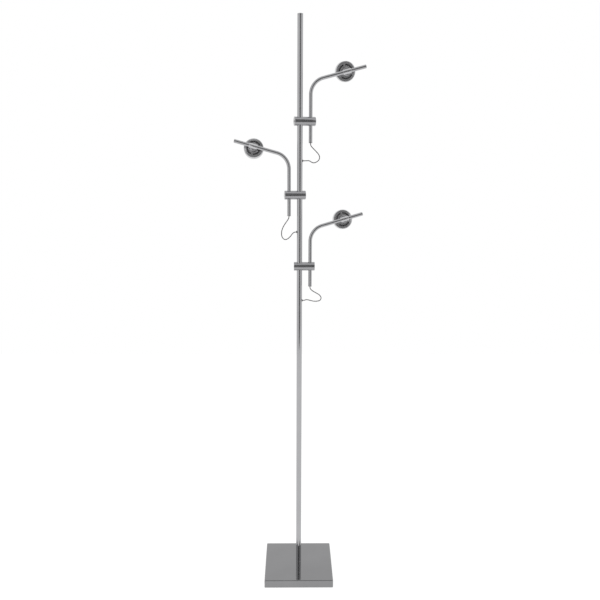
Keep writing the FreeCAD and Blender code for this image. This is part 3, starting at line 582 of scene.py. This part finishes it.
@dataclass
class Stand:
    """Square base, pole and what ties them together, in millimetres."""

    body: str = "stand"
    side: float = 250.0
    low: float = 1.5
    top: float = 30.5
    edge_round: float = 3.5
    sheet: float = 1.5
    plug_rim: float = 1.2
    pole_radius: float = 9.5
    pole_bore: float = 8.0
    split: float = 1000.0
    height: float = 1996.0
    cap: float = 3.0
    cap_depth: float = 12.0
    plug_depth: float = 30.0
    pipe_room: float = 5.05
    end_chamfer: float = 0.3
    gland_place: float = 8.0
    gland_bore: float = 3.0
    gland_neck: float = 4.5
    gland_flange: float = 6.0
    gland_rim: float = 2.0
    whole: Matrix = field(default_factory=lambda: Matrix.Identity(4))

    def build(self) -> None:
        """Build the stand's visible pieces."""
        self.build_cover()
        self.build_foot()
        self.build_tubes()
        self.build_cap()
        self.build_gland()

    def build_cover(self) -> None:
        """Sheet cover, open below, with rounded edges and corners."""
        height = self.top - self.low
        solid = box((self.side, self.side, height), (0, 0, (self.top + self.low) / 2))
        floor = [face for face in solid.faces if face.normal.z < -0.5]
        bmesh.ops.delete(solid, geom=floor, context="FACES_ONLY")
        soften(solid, self.edge_round, 8)
        bmesh.ops.recalc_face_normals(solid, faces=solid.faces)
        shell = walled(solid, self.sheet, even=True)
        # The cover wears the darker chrome copy: painted shade for its darker reflections.
        fit("base_cover_sheet", shell, self.whole, Slot.CHROME, self.body, "base_cover", finish=BASE_FINISH_PAINTED_SHADE)

    def build_foot(self) -> None:
        """Foot plug, whose bright rim shows between base and pole."""
        rim = self.top + self.plug_rim
        profile = [
            (self.pipe_room, self.top),
            (self.pole_radius, self.top),
            (self.pole_radius, rim),
            (self.pole_bore, rim),
            (self.pole_bore, rim + self.plug_depth),
            (self.pipe_room, rim + self.plug_depth),
        ]
        solid = soften(turned(profile), 0.15, 2)
        fit("foot_plug_turned", solid, self.whole, Slot.SATIN, self.body, "pole_foot_plug")

    def build_tubes(self) -> None:
        """Lower and upper tube of the pole, with a fine chamfer where they meet."""
        foot = self.top + self.plug_rim
        crown = self.height - self.cap
        for name, node, low, high in (
            ("pole_lower_chromed", "pole_lower", foot, self.split),
            ("pole_upper_chromed", "pole_upper", self.split, crown),
        ):
            tube = turned(ring(self.pole_bore, self.pole_radius, low, high), 128)
            solid = soften(tube, self.end_chamfer, 1)
            fit(name, solid, self.whole, Slot.CHROME, self.body, node)

    def build_cap(self) -> None:
        """Disc on top of the pole with its plug inside the tube."""
        crown = self.height - self.cap
        profile = [
            (0, crown - self.cap_depth),
            (self.pole_bore, crown - self.cap_depth),
            (self.pole_bore, crown),
            (self.pole_radius, crown),
            (self.pole_radius, self.height),
            (0, self.height),
        ]
        solid = soften(turned(profile), 0.6, 4)
        fit("pole_cap_turned", solid, self.whole, Slot.CHROME, self.body, "pole_top_cap")

    def build_gland(self) -> None:
        """Flanged bush for the mains cord in the rear wall."""
        profile = [
            (self.gland_bore, -self.gland_neck),
            (self.gland_neck, -self.gland_neck),
            (self.gland_neck, 0),
            (self.gland_flange, 0),
            (self.gland_flange, self.gland_rim),
            (self.gland_bore, self.gland_rim),
        ]
        place = Matrix.Translation((0, self.side / 2 * MM, self.gland_place * MM)) @ ALONG_Y
        solid = soften(turned(profile, 48), 0.4, 3)
        fit("cord_gland_moulded", solid, place, Slot.PLASTIC, self.body, "cable_gland")


# ------------------------------------------------------------------ arms


@dataclass(frozen=True)
class ArmPlace:
    """Where one arm's clamp, tube and head are, read from the frame's joints."""

    name: str
    clamp: Matrix
    arm: Matrix
    head: Matrix

    @classmethod
    def read(cls, name: str) -> "ArmPlace":
        """Read the axes of clamp, arm and head.

        Args:
            name: upper, middle or lower.

        Returns:
            The three sets of axes, in metres.
        """
        joints = {joint["name"]: joint for joint in frame["joints"]}
        middle = Vector(joints[name + "_swivel"]["pos_m"])
        upright = Vector(joints[name + "_turn"]["pos_m"])
        pivot = Vector(joints[name + "_tilt"]["pos_m"])
        rod_axis = Vector(joints[name + "_tilt"]["axis"]).normalized()
        out = (upright - middle).normalized()
        heading = Vector((rod_axis.x, rod_axis.y, 0)).normalized()
        low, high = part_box(name + "_lens")
        shine = (low + high) / 2 - pivot
        shine = (shine - rod_axis * shine.dot(rod_axis)).normalized()
        return cls(
            name,
            axes(middle, out, UP.cross(out), UP),
            axes(upright, heading, UP.cross(heading), UP),
            axes(pivot, rod_axis, shine, rod_axis.cross(shine)),
        )


@dataclass
class Clamp:
    """Level barrel with a bore for the pole and one for the arm, in millimetres."""

    place: ArmPlace
    radius: float = 15.0
    back: float = -19.5
    front: float = 52.5
    edge: float = 0.6
    arm_offset: float = 37.0
    pole_bore: float = 9.8
    arm_bore: float = 6.3
    groove_radius: float = 11.05
    groove_half: float = 8.1
    screw_radius: float = 4.0
    screw_start: float = -18.5
    screw_length: float = 5.0
    socket_flats: float = 4.0
    socket_depth: float = 2.5

    def build(self) -> None:
        """Build the barrel and its grub screw."""
        name = self.place.name
        body = name + "_clamp"
        reach = self.radius + 1
        blank = turned(ring(0, self.radius, self.back, self.front), 160)
        barrel = moved(soften(blank, self.edge, 4), ALONG_X)
        tools = [
            rod(self.pole_bore, -reach, reach, 96),
            moved(rod(self.arm_bore, -reach, reach, 96), shift(self.arm_offset)),
            rod(self.groove_radius, -self.groove_half, self.groove_half, 96),
            moved(rod(self.screw_radius + 0.05, self.back - 1, self.arm_offset - self.arm_bore, 48), ALONG_X),
        ]
        solid = combined(barrel, tools, "DIFFERENCE")
        fit(name + "_clamp_barrel", solid, self.place.clamp, Slot.CLAMP, body, name + "_clamp_body")
        screw = soften(rod(self.screw_radius, 0, self.screw_length, 48), 0.4, 2)
        socket = hexagon(self.socket_flats, -1, self.socket_depth)
        screw = moved(combined(screw, [socket], "DIFFERENCE"), shift(self.screw_start) @ ALONG_X)
        fit(name + "_grub_screw", screw, self.place.clamp, Slot.BLACK_STEEL, body, name + "_clamp_screw")


@dataclass
class Arm:
    """Bent tube with a bush below and a cap at the tip, in millimetres."""

    place: ArmPlace
    radius: float = 6.25
    wall: float = 1.25
    low: float = 70.0
    bush: float = 1.0
    bend_start: float = 87.0
    bend_radius: float = 56.0
    rise: float = 15.25
    reach: float = 186.0
    cap: float = 1.5
    ring_half: float = 4.2
    ring_depth: float = 0.5
    spigot: float = 8.0
    jacket_room: float = 1.6
    core_room: float = 1.0
    bend_steps: int = 48

    def build(self) -> None:
        """Build the tube, its bush and its cap."""
        name = self.place.name
        body = name + "_arm"
        fit(name + "_arm_bent", self.tube(), self.place.arm, Slot.CHROME, body, name + "_arm_tube")
        inner = self.radius - self.wall
        bush = [
            (self.core_room, self.spigot),
            (self.core_room, 0),
            (self.jacket_room, 0),
            (self.jacket_room, -self.bush),
            (self.radius, -self.bush),
            (self.radius, 0),
            (inner, 0),
            (inner, self.spigot),
        ]
        solid = moved(soften(turned(bush, 64), 0.2, 2), shift(0, 0, -self.low))
        fit(name + "_lead_bush", solid, self.place.arm, Slot.PLASTIC, body, name + "_arm_end_bush")
        cap = [
            (0, -self.spigot), (inner, -self.spigot), (inner, 0),
            (self.radius, 0), (self.radius, self.cap), (0, self.cap),
        ]
        lean = Matrix.Rotation(math.radians(90 - self.rise), 4, "Y")
        tip = Matrix.Translation(self.rod_end()) @ lean
        solid = moved(soften(turned(cap, 64), 0.35, 3), tip)
        fit(name + "_tip_cap", solid, self.place.arm, Slot.CHROME, body, name + "_arm_tip_cap")

    def rod_start(self) -> Vector:
        """Return the end of the bend."""
        rise = math.radians(self.rise)
        return Vector((
            self.bend_radius * (1 - math.sin(rise)), 0,
            self.bend_start + self.bend_radius * math.cos(rise)))

    def rod_end(self) -> Vector:
        """Return the end of the tube, where the cap begins."""
        rise = math.radians(self.rise)
        start = self.rod_start()
        level = self.reach - self.cap * math.cos(rise) - start.x
        return start + Vector((level, 0, level * math.tan(rise)))

    def tube(self) -> bmesh.types.BMesh:
        """Return the tube: a ring drawn up, round the bend and out, then given its wall."""
        solid = bmesh.new()
        bmesh.ops.create_circle(solid, segments=64, radius=self.radius, matrix=shift(0, 0, -self.low))
        waist = 1 - self.ring_depth / self.radius
        climb = [
            (-self.ring_half, 1.0), (-self.ring_half, waist), (self.ring_half, waist),
            (self.ring_half, 1.0), (self.bend_start, 1.0),
        ]
        edges = list(solid.edges)
        height = -self.low
        girth = 1.0
        for level, share in climb:
            edges = self.drawn(solid, edges, Vector((0, 0, level - height)))
            points = {point for edge in edges for point in edge.verts}
            bmesh.ops.scale(solid, vec=(share / girth, share / girth, 1), verts=list(points))
            height, girth = level, share
        bend = bmesh.ops.spin(
            solid, geom=edges + list({point for edge in edges for point in edge.verts}),
            cent=(self.bend_radius, 0, self.bend_start), axis=(0, 1, 0),
            angle=math.radians(90 - self.rise), steps=self.bend_steps)
        edges = [item for item in bend["geom_last"] if isinstance(item, bmesh.types.BMEdge)]
        self.drawn(solid, edges, self.rod_end() - self.rod_start())
        bmesh.ops.recalc_face_normals(solid, faces=solid.faces)
        return walled(solid, self.wall)

    @staticmethod
    def drawn(solid: bmesh.types.BMesh, edges: list[bmesh.types.BMEdge],
              move: Vector) -> list[bmesh.types.BMEdge]:
        """Draw edges out by a move and return the new ones."""
        grown = bmesh.ops.extrude_edge_only(solid, edges=edges)["geom"]
        points = [item for item in grown if isinstance(item, bmesh.types.BMVert)]
        bmesh.ops.translate(solid, vec=move, verts=points)
        return [
            item for item in grown
            if isinstance(item, bmesh.types.BMEdge) and all(point in points for point in item.verts)
        ]


@dataclass
class Head:
    """Round spot head on its collar, in millimetres; its middle line points where it shines."""

    place: ArmPlace
    radius: float = 34.0
    back: float = 20.0
    depth: float = 16.0
    edge_round: float = 4.0
    wall: float = 2.0
    rim: float = 3.0
    lip: float = 2.0
    window: float = 29.0
    slot_inner: float = 19.5
    slot_outer: float = 24.7
    spoke: float = 7.0
    slots: int = 3
    step: float = 1.0
    step_radius: float = 15.5
    crown: float = 2.4
    crown_points: int = 8
    hub_radius: float = 13.0
    hub_start: float = 4.0
    wire_hole: float = 3.0
    sleeve_radius: float = 8.5
    sleeve_half: float = 14.5
    rod_bore: float = 6.3
    screw_radius: float = 2.0
    screw_length: float = 2.1
    socket_flats: float = 2.0
    socket_depth: float = 1.2
    sink_radius: float = 31.5
    sink_hub: float = 10.0
    sink_low: float = 4.0
    sink_high: float = 8.0
    sink_rim: float = 2.0
    fins: int = 60
    fin_overlap: float = 3.0
    fin_thickness: float = 0.8
    fin_height: float = 1.8
    fin_middle: float = 3.15
    lens_height: float = 2.0
    lens_radius: float = 31.9
    lens_dome: float = 1.6

    def build(self) -> None:
        """Build the collar, shell, heat sink, lens and rim."""
        self.build_collar()
        self.build_shell()
        self.build_sink()
        self.build_front()

    def shine_place(self) -> Matrix:
        """Return axes at the head's back with Z where the head shines."""
        return self.place.head @ Matrix.Translation((0, self.back * MM, 0)) @ ALONG_Y

    def build_collar(self) -> None:
        """Sleeve round the rod with the boss that carries the head."""
        name = self.place.name
        body = name + "_head"
        hub = soften(rod(self.hub_radius, self.hub_start, self.back, 96), 1.2, 4)
        sleeve = soften(rod(self.sleeve_radius, -self.sleeve_half, self.sleeve_half, 96), 1.0, 4)
        sleeve = moved(sleeve, ALONG_X)
        solid = combined(moved(hub, ALONG_Y), [sleeve], "UNION")
        tools = [
            moved(rod(self.rod_bore, -2 * self.sleeve_half, 2 * self.sleeve_half, 96), ALONG_X),
            moved(rod(self.wire_hole, 0, 2 * self.back, 32), ALONG_Y),
            rod(self.screw_radius + 0.05, -2 * self.sleeve_radius, 0, 32),
        ]
        solid = combined(solid, tools, "DIFFERENCE")
        fit(name + "_collar_cast", solid, self.place.head, Slot.HEAD, body, name + "_head_collar")
        screw = soften(rod(self.screw_radius, 0, self.screw_length, 32), 0.2, 2)
        screw = combined(screw, [hexagon(self.socket_flats, -1, self.socket_depth)], "DIFFERENCE")
        screw = moved(screw, shift(0, 0, -self.sleeve_radius))
        fit(name + "_collar_grub", screw, self.place.head, Slot.BLACK_STEEL, body, name + "_collar_screw")

    def slot_cutter(self, index: int) -> bmesh.types.BMesh:
        """Return what cuts one slot: a short bar spun round the middle line, less the bridges."""
        middle = (self.slot_inner + self.slot_outer) / 2
        gap = math.asin(self.spoke / 2 / middle)
        start = math.pi / 2 + index * FULL_TURN / self.slots + gap
        span = FULL_TURN / self.slots - 2 * gap
        solid = bmesh.new()
        bmesh.ops.create_grid(
            solid, x_segments=1, y_segments=1, size=0.5,
            matrix=Matrix.Rotation(start, 4, "Z") @ shift(middle) @ Matrix.Rotation(math.pi / 2, 4, "X")
            @ Matrix.Diagonal((self.slot_outer - self.slot_inner, 3 * self.wall, 1, 1)))
        bmesh.ops.spin(
            solid, geom=solid.verts[:] + solid.edges[:] + solid.faces[:], cent=(0, 0, 0), axis=(0, 0, 1),
            angle=span, steps=40)
        bmesh.ops.recalc_face_normals(solid, faces=solid.faces)
        return solid

    def crown_height(self, radius: float) -> float:
        """Return the height of the crowned back at a radius."""
        return -self.crown * (1 - (radius / self.radius) ** 2)

    def build_shell(self) -> None:
        """Back shell with its rounded edge and cooling slots."""
        top = self.depth - self.rim
        inner = self.radius - self.wall
        step = self.crown_height(self.step_radius) - self.step
        width = (self.radius - self.step_radius) / self.crown_points
        crown = [self.step_radius + index * width for index in range(self.crown_points)]
        profile = [
            (self.wire_hole, step), (self.step_radius, step),
            *((radius, self.crown_height(radius)) for radius in crown),
            (self.radius, 0), (self.radius, top),
            (inner, top), (inner, self.wall), (self.wire_hole, self.wall),
        ]
        solid = turned(profile, 128)
        outer = self.radius - 0.01
        soften(solid, self.edge_round, 8, lambda edge: all(
            point.co.z < 0.01 and point.co.xy.length > outer for point in edge.verts))
        cutters = [self.slot_cutter(index) for index in range(self.slots)]
        solid = combined(solid, cutters, "DIFFERENCE")
        name = self.place.name
        fit(name + "_head_shell", solid, self.shine_place(), Slot.HEAD, name + "_head", name + "_head_back")

    def build_sink(self) -> None:
        """Black heat sink with fins that show through the slots."""
        top = self.depth - self.lip - self.lens_height
        inner = self.sink_radius - self.sink_rim
        profile = [
            (0, self.wall), (self.sink_hub, self.wall), (self.sink_hub, self.sink_low),
            (self.sink_radius, self.sink_low), (self.sink_radius, top),
            (inner, top), (inner, self.sink_high), (0, self.sink_high),
        ]
        plate = turned(profile, 96)
        length = self.slot_outer - self.slot_inner + 2 * self.fin_overlap
        middle = (self.slot_inner + self.slot_outer) / 2
        fin = box((length, self.fin_thickness, self.fin_height), (middle, 0, self.fin_middle))
        bmesh.ops.spin(
            fin, geom=fin.verts[:] + fin.edges[:] + fin.faces[:], cent=(0, 0, 0), axis=(0, 0, 1),
            angle=FULL_TURN, steps=self.fins, use_duplicate=True)
        name = self.place.name
        solid = joined([plate, fin])
        bmesh.ops.remove_doubles(solid, verts=solid.verts, dist=0.001)
        fit(name + "_finned_sink", solid, self.shine_place(), Slot.ANODISED, name + "_head",
            name + "_heat_sink")

    def build_front(self) -> None:
        """Domed diffuser and the rim that holds it."""
        name = self.place.name
        body = name + "_head"
        top = self.depth - self.rim
        inner = self.radius - self.wall
        under = self.depth - self.lip
        rim = [
            (inner, top), (self.radius, top), (self.radius, self.depth),
            (self.window, self.depth), (self.window, under), (inner, under),
        ]
        fit(name + "_front_rim", soften(turned(rim, 128), 0.6, 4), self.shine_place(), Slot.HEAD, body,
            name + "_head_rim")
        low = under - self.lens_height
        dome = [(0, low), (self.lens_radius, low), (self.lens_radius, under), (self.window - 1, under)]
        arc_steps = 10
        for index in range(1, arc_steps + 1):
            share = 1 - index / arc_steps
            dome.append(((self.window - 1) * share, under + self.lens_dome * (1 - share ** 2)))
        fit(name + "_diffuser", turned(dome, 96), self.shine_place(), Slot.LENS, body, name + "_lens")


# ------------------------------------------------------------------ leads


LEAD_ROUTES = {
    "upper": (
        (37.0, 0.0, -71.0), (37.0, 0.0, -77.0), (40.5, -0.4, -83.2), (49.3, -1.6, -92.0),
        (60.0, -3.0, -102.5), (68.5, -4.0, -113.5), (67.5, -3.6, -126.0), (57.5, -2.0, -134.8),
        (45.0, -0.6, -137.5), (33.5, 0.4, -129.0), (21.5, 0.0, -130.0), (11.0, 0.0, -130.0),
    ),
    "middle": (
        (37.0, 0.0, -71.0), (37.0, 0.0, -77.0), (40.8, 0.3, -83.5), (48.2, 1.2, -93.5),
        (57.0, 2.4, -106.0), (63.0, 3.4, -120.5), (63.8, 3.2, -135.0), (60.0, 2.2, -146.3),
        (52.0, 1.0, -152.2), (42.5, 0.2, -150.5), (32.5, -0.4, -142.0), (25.2, 0.0, -131.5),
        (18.0, 0.0, -126.0), (11.0, 0.0, -126.0),
    ),
    "lower": (
        (37.0, 0.0, -71.0), (37.0, 0.0, -77.0), (40.6, -0.4, -83.0), (49.2, -1.4, -89.4),
        (60.5, -2.8, -95.2), (71.0, -3.8, -101.5), (77.3, -4.4, -110.5), (74.0, -4.0, -120.8),
        (63.5, -2.4, -124.3), (49.5, -0.8, -124.6), (34.5, 0.4, -120.5), (24.5, 0.0, -118.3),
        (17.4, 0.0, -121.5), (11.0, 0.0, -121.5),
    ),
}


@dataclass
class Lead:
    """Thin lead from an arm's lower end, in a loop, to its hole in the pole, in millimetres.

    It is two pieces that meet where the loop reaches out furthest.
    """

    place: ArmPlace
    radius: float = 1.5
    jacket_depth: float = 1.0
    grip_start: float = 15.0
    grip_end: float = 60.0
    swivel_start: float = -112.0
    swivel_end: float = -76.0
    pole_radius: float = 9.5
    flange: float = 1.5

    def build(self) -> None:
        """Build both pieces and hide the CAD lead."""
        name = self.place.name
        node = name + "_lead"
        route = [Vector(point) for point in LEAD_ROUTES[name]]
        route[0] += (route[0] - route[1]).normalized() * self.jacket_depth
        route[-1] += (route[-1] - route[-2]).normalized() * self.jacket_depth
        line = self.spline_points(route)
        turn = max(range(len(line)), key=lambda index: line[index].x)
        upper, lower = line[:turn + 1], line[turn:]
        hole = route[-1].z
        outer = self.tube(node + "_outer", upper)
        self.declare(upper)
        self.world((0, 0, self.swivel_start))
        self.world((0, 0, self.swivel_end))
        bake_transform(outer)
        inner = self.tube(node + "_inner", lower)
        self.declare(lower[::-1])
        self.world((self.grip_start, 0, hole))
        self.world((self.grip_end, 0, hole))
        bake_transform(inner)

    def world(self, point: Sequence[float]) -> Vector:
        """Return a point of the clamp's axes in the lamp's frame, in metres."""
        return self.place.clamp @ (Vector(point) * MM)

    def spline_points(self, route: list[Vector]) -> list[Vector]:
        """Return the points of the smooth curve that has the route's points as control points."""
        curve = bpy.data.curves.new("route", "CURVE")
        curve.dimensions = "3D"
        spline = curve.splines.new("NURBS")
        spline.points.add(len(route) - 1)
        for target, point in zip(spline.points, route):
            target.co = (*point, 1)
        spline.order_u = 3
        spline.use_endpoint_u = True
        spline.resolution_u = 12
        item = bpy.data.objects.new("route", curve)
        bpy.context.scene.collection.objects.link(item)
        bpy.context.view_layer.update()
        mesh = bpy.data.meshes.new_from_object(item.evaluated_get(bpy.context.evaluated_depsgraph_get()))
        points = [point.co.copy() for point in mesh.vertices]
        bpy.data.objects.remove(item)
        bpy.data.meshes.remove(mesh)
        return points

    def tube(self, name: str, line: list[Vector]) -> bpy.types.Object:
        """Return a round tube along a line, with closed ends."""
        curve = bpy.data.curves.new(name, "CURVE")
        curve.dimensions = "3D"
        curve.bevel_depth = self.radius * MM
        curve.bevel_resolution = 5
        curve.use_fill_caps = True
        spline = curve.splines.new("POLY")
        spline.points.add(len(line) - 1)
        for target, point in zip(spline.points, line):
            target.co = (*self.world(point), 1)
        item = bpy.data.objects.new("drawn_" + name, curve)
        bpy.context.scene.collection.objects.link(item)
        bpy.context.view_layer.update()
        mesh = bpy.data.meshes.new_from_object(item.evaluated_get(bpy.context.evaluated_depsgraph_get()))
        bpy.data.objects.remove(item)
        solid = bmesh.new()
        solid.from_mesh(mesh)
        bmesh.ops.remove_doubles(solid, verts=solid.verts, dist=1e-6)
        bmesh.ops.recalc_face_normals(solid, faces=solid.faces)
        bmesh.ops.scale(solid, vec=(1 / MM, 1 / MM, 1 / MM), verts=solid.verts)
        return finished(name, solid, Matrix.Identity(4), FINISHES[Slot.LEAD])

    def declare(self, line: list[Vector]) -> None:
        """Work out the line's points in the lamp's frame, which nothing uses, and hide the CAD lead."""
        path = [self.world(point) for point in line]
        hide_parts(self.place.name + "_lead")


def build_grommets(places: list[ArmPlace]) -> None:
    """Flanged bushes in the pole's holes, one mesh for all three."""
    profile = [
        (1.0, -2.5), (3.0, -2.5), (3.0, 0), (4.0, 0), (4.0, 1.5), (1.6, 1.5), (1.6, 0.5), (1.0, 0.5),
    ]
    solids = []
    for place in places:
        hole = LEAD_ROUTES[place.name][-1][2]
        solid = soften(turned(profile, 48), 0.25, 2)
        world_mm = Matrix.Scale(1 / MM, 4) @ place.clamp @ Matrix.Scale(MM, 4)
        solids.append(moved(solid, world_mm @ shift(9.5, 0, hole) @ ALONG_X))
    fit("lead_grommets", joined(solids), Matrix.Identity(4), Slot.RUBBER, "stand", "pole_grommets")


# ------------------------------------------------------------------ inner pieces


def dress_nodes() -> None:
    """Give every CAD node that stays the finish of its record slot."""
    slots = {entry["node"]: entry["material_slot"] for entry in frame["record"]["subparts"]}
    for name, item in frame["nodes"].items():
        if item.hide_render:
            continue
        material = material_of(FINISHES[Slot(slots[name])])
        item.data.materials.clear()
        item.data.materials.append(material)
        log.info("%s keeps its CAD shape", name)


# ------------------------------------------------------------------ studio


@dataclass
class Studio:
    """Camera, white world and floor, lights, and the grey card that the metal mirrors."""

    focal_px: float = 676.1
    frame_px: float = 600.0
    sensor: float = 36.0
    position: Point = (-0.0234, -2.3403, 1.5057)
    yaw: float = -0.628
    pitch: float = 11.137
    roll: float = 0.192
    card_middle: Point = (0.7, -3.2, 2.5)
    card_width: float = 3.8
    card_height: float = 5.0
    card_tone: float = 0.25
    world_light: float = 0.85
    floor_half: float = 3.0
    floor_tone: float = 0.8
    floor_glow: float = 1.12
    floor_glow_share: float = 0.8

    def build_camera(self) -> None:
        """Set the camera at the photograph's viewpoint."""
        yaw, pitch, roll = (math.radians(angle) for angle in (self.yaw, self.pitch, self.roll))
        ahead = Vector((-math.sin(yaw) * math.cos(pitch), math.cos(yaw) * math.cos(pitch), -math.sin(pitch)))
        level = Vector((math.cos(yaw), math.sin(yaw), 0))
        upward = level.cross(ahead)
        right = level * math.cos(roll) + upward * math.sin(roll)
        top = upward * math.cos(roll) - level * math.sin(roll)
        data = bpy.data.cameras.new("viewpoint")
        data.sensor_width = self.sensor
        data.lens = self.focal_px / self.frame_px * self.sensor
        camera = bpy.data.objects.new("viewpoint", data)
        camera.matrix_world = axes(Vector(self.position), right, top, -ahead)
        bpy.context.scene.collection.objects.link(camera)
        bpy.context.scene.camera = camera

    @staticmethod
    def sheet(name: str, place: Matrix, material: bpy.types.Material) -> bpy.types.Object:
        """Lay out a flat sheet of the studio.

        Args:
            name: the sheet's name.
            place: where the square from -1 to 1 goes.
            material: what it is made of.

        Returns:
            The sheet, kept out of the lamp.
        """
        solid = bmesh.new()
        bmesh.ops.create_grid(solid, x_segments=1, y_segments=1, size=1, matrix=place)
        mesh = bpy.data.meshes.new(name)
        solid.to_mesh(mesh)
        solid.free()
        mesh.materials.append(material)
        item = bpy.data.objects.new(name, mesh)
        bpy.context.scene.collection.objects.link(item)
        return item

    @staticmethod
    def shown_white(tree: bpy.types.NodeTree) -> bpy.types.NodeSocket:
        """Return 1 for the rays that show the white background: camera, glossy and transmission."""
        rays = tree.nodes.new("ShaderNodeLightPath")
        result = rays.outputs["Is Camera Ray"]
        for name in ("Is Glossy Ray", "Is Transmission Ray"):
            larger = tree.nodes.new("ShaderNodeMath")
            larger.operation = "MAXIMUM"
            tree.links.new(result, larger.inputs[0])
            tree.links.new(rays.outputs[name], larger.inputs[1])
            result = larger.outputs["Value"]
        return result

    def build_room(self) -> None:
        """Build the world: white to the eye, to metal and to glass, and a plain light on the lamp."""
        world = bpy.data.worlds.new("studio")
        bpy.context.scene.world = world
        world.use_nodes = True
        tree = world.node_tree
        tone = tree.nodes.new("ShaderNodeMix")
        tone.data_type = "RGBA"
        tone.inputs["A"].default_value = (*[self.world_light] * 3, 1)
        tone.inputs["B"].default_value = (1, 1, 1, 1)
        tree.links.new(self.shown_white(tree), tone.inputs["Factor"])
        tree.links.new(tone.outputs["Result"], tree.nodes["Background"].inputs["Color"])

    def build_card(self) -> None:
        """Stand a grey card behind the camera, which shows only in glossy surfaces."""
        upright = Matrix.Translation(self.card_middle) @ Matrix.Rotation(math.pi / 2, 4, "X")
        material = bpy.data.materials.new("grey_card")
        material.use_nodes = True
        surface = material.node_tree.nodes["Principled BSDF"]
        surface.inputs["Base Color"].default_value = (*[self.card_tone] * 3, 1)
        surface.inputs["Roughness"].default_value = 0.9
        size = Matrix.Diagonal((self.card_width / 2, self.card_height / 2, 1, 1))
        card = self.sheet("front_card", upright @ size, material)
        card.visible_camera = False
        card.visible_diffuse = False
        card.visible_shadow = False

    def build_floor(self) -> None:
        """Lay a pale floor that shows the lamp's soft shadow."""
        material = bpy.data.materials.new("pale_floor")
        material.use_nodes = True
        tree = material.node_tree
        tree.nodes.clear()
        paint = tree.nodes.new("ShaderNodeBsdfDiffuse")
        paint.inputs["Color"].default_value = (*[self.floor_tone] * 3, 1)
        glow = tree.nodes.new("ShaderNodeEmission")
        share = tree.nodes.new("ShaderNodeMath")
        share.operation = "MULTIPLY"
        share.inputs[1].default_value = self.floor_glow_share
        glow.inputs["Strength"].default_value = self.floor_glow
        tree.links.new(self.shown_white(tree), share.inputs[0])
        mix = tree.nodes.new("ShaderNodeMixShader")
        output = tree.nodes.new("ShaderNodeOutputMaterial")
        tree.links.new(share.outputs["Value"], mix.inputs["Fac"])
        tree.links.new(paint.outputs["BSDF"], mix.inputs[1])
        tree.links.new(glow.outputs["Emission"], mix.inputs[2])
        tree.links.new(mix.outputs["Shader"], output.inputs["Surface"])
        self.sheet("floor", Matrix.Diagonal((self.floor_half, self.floor_half, 1, 1)), material)

    def build_lights(self) -> None:
        """Hang large soft lights over and beside the lamp."""
        for name, place, size, power in (
            ("top_light", (0.3, -0.6, 4.2), 2.5, 60.0),
            ("left_light", (-2.6, -1.6, 2.4), 1.8, 30.0),
        ):
            data = bpy.data.lights.new(name, "AREA")
            data.energy = power
            data.size = size
            light = bpy.data.objects.new(name, data)
            light.visible_glossy = False
            aim = (Vector((0, 0, 0.9)) - Vector(place)).to_track_quat("-Z", "Y")
            light.matrix_world = Matrix.Translation(place) @ aim.to_matrix().to_4x4()
            bpy.context.scene.collection.objects.link(light)

    def set_view(self) -> None:
        """Set the plain view transform."""
        bpy.context.scene.view_settings.view_transform = "Standard"


def main() -> None:
    """Build the camera and the leads, then the lamp from the base up, then the studio."""
    logging.basicConfig(level=logging.INFO, format="%(name)s: %(message)s")
    studio = Studio()
    studio.set_view()
    studio.build_camera()
    places = [ArmPlace.read(name) for name in LEAD_ROUTES]
    for place in places:
        Lead(place).build()
    Stand().build()
    build_grommets(places)
    for place in places:
        Clamp(place).build()
        Arm(place).build()
        Head(place).build()
    dress_nodes()
    studio.build_room()
    studio.build_floor()
    studio.build_card()
    studio.build_lights()


if __name__ == "__main__":
    main()
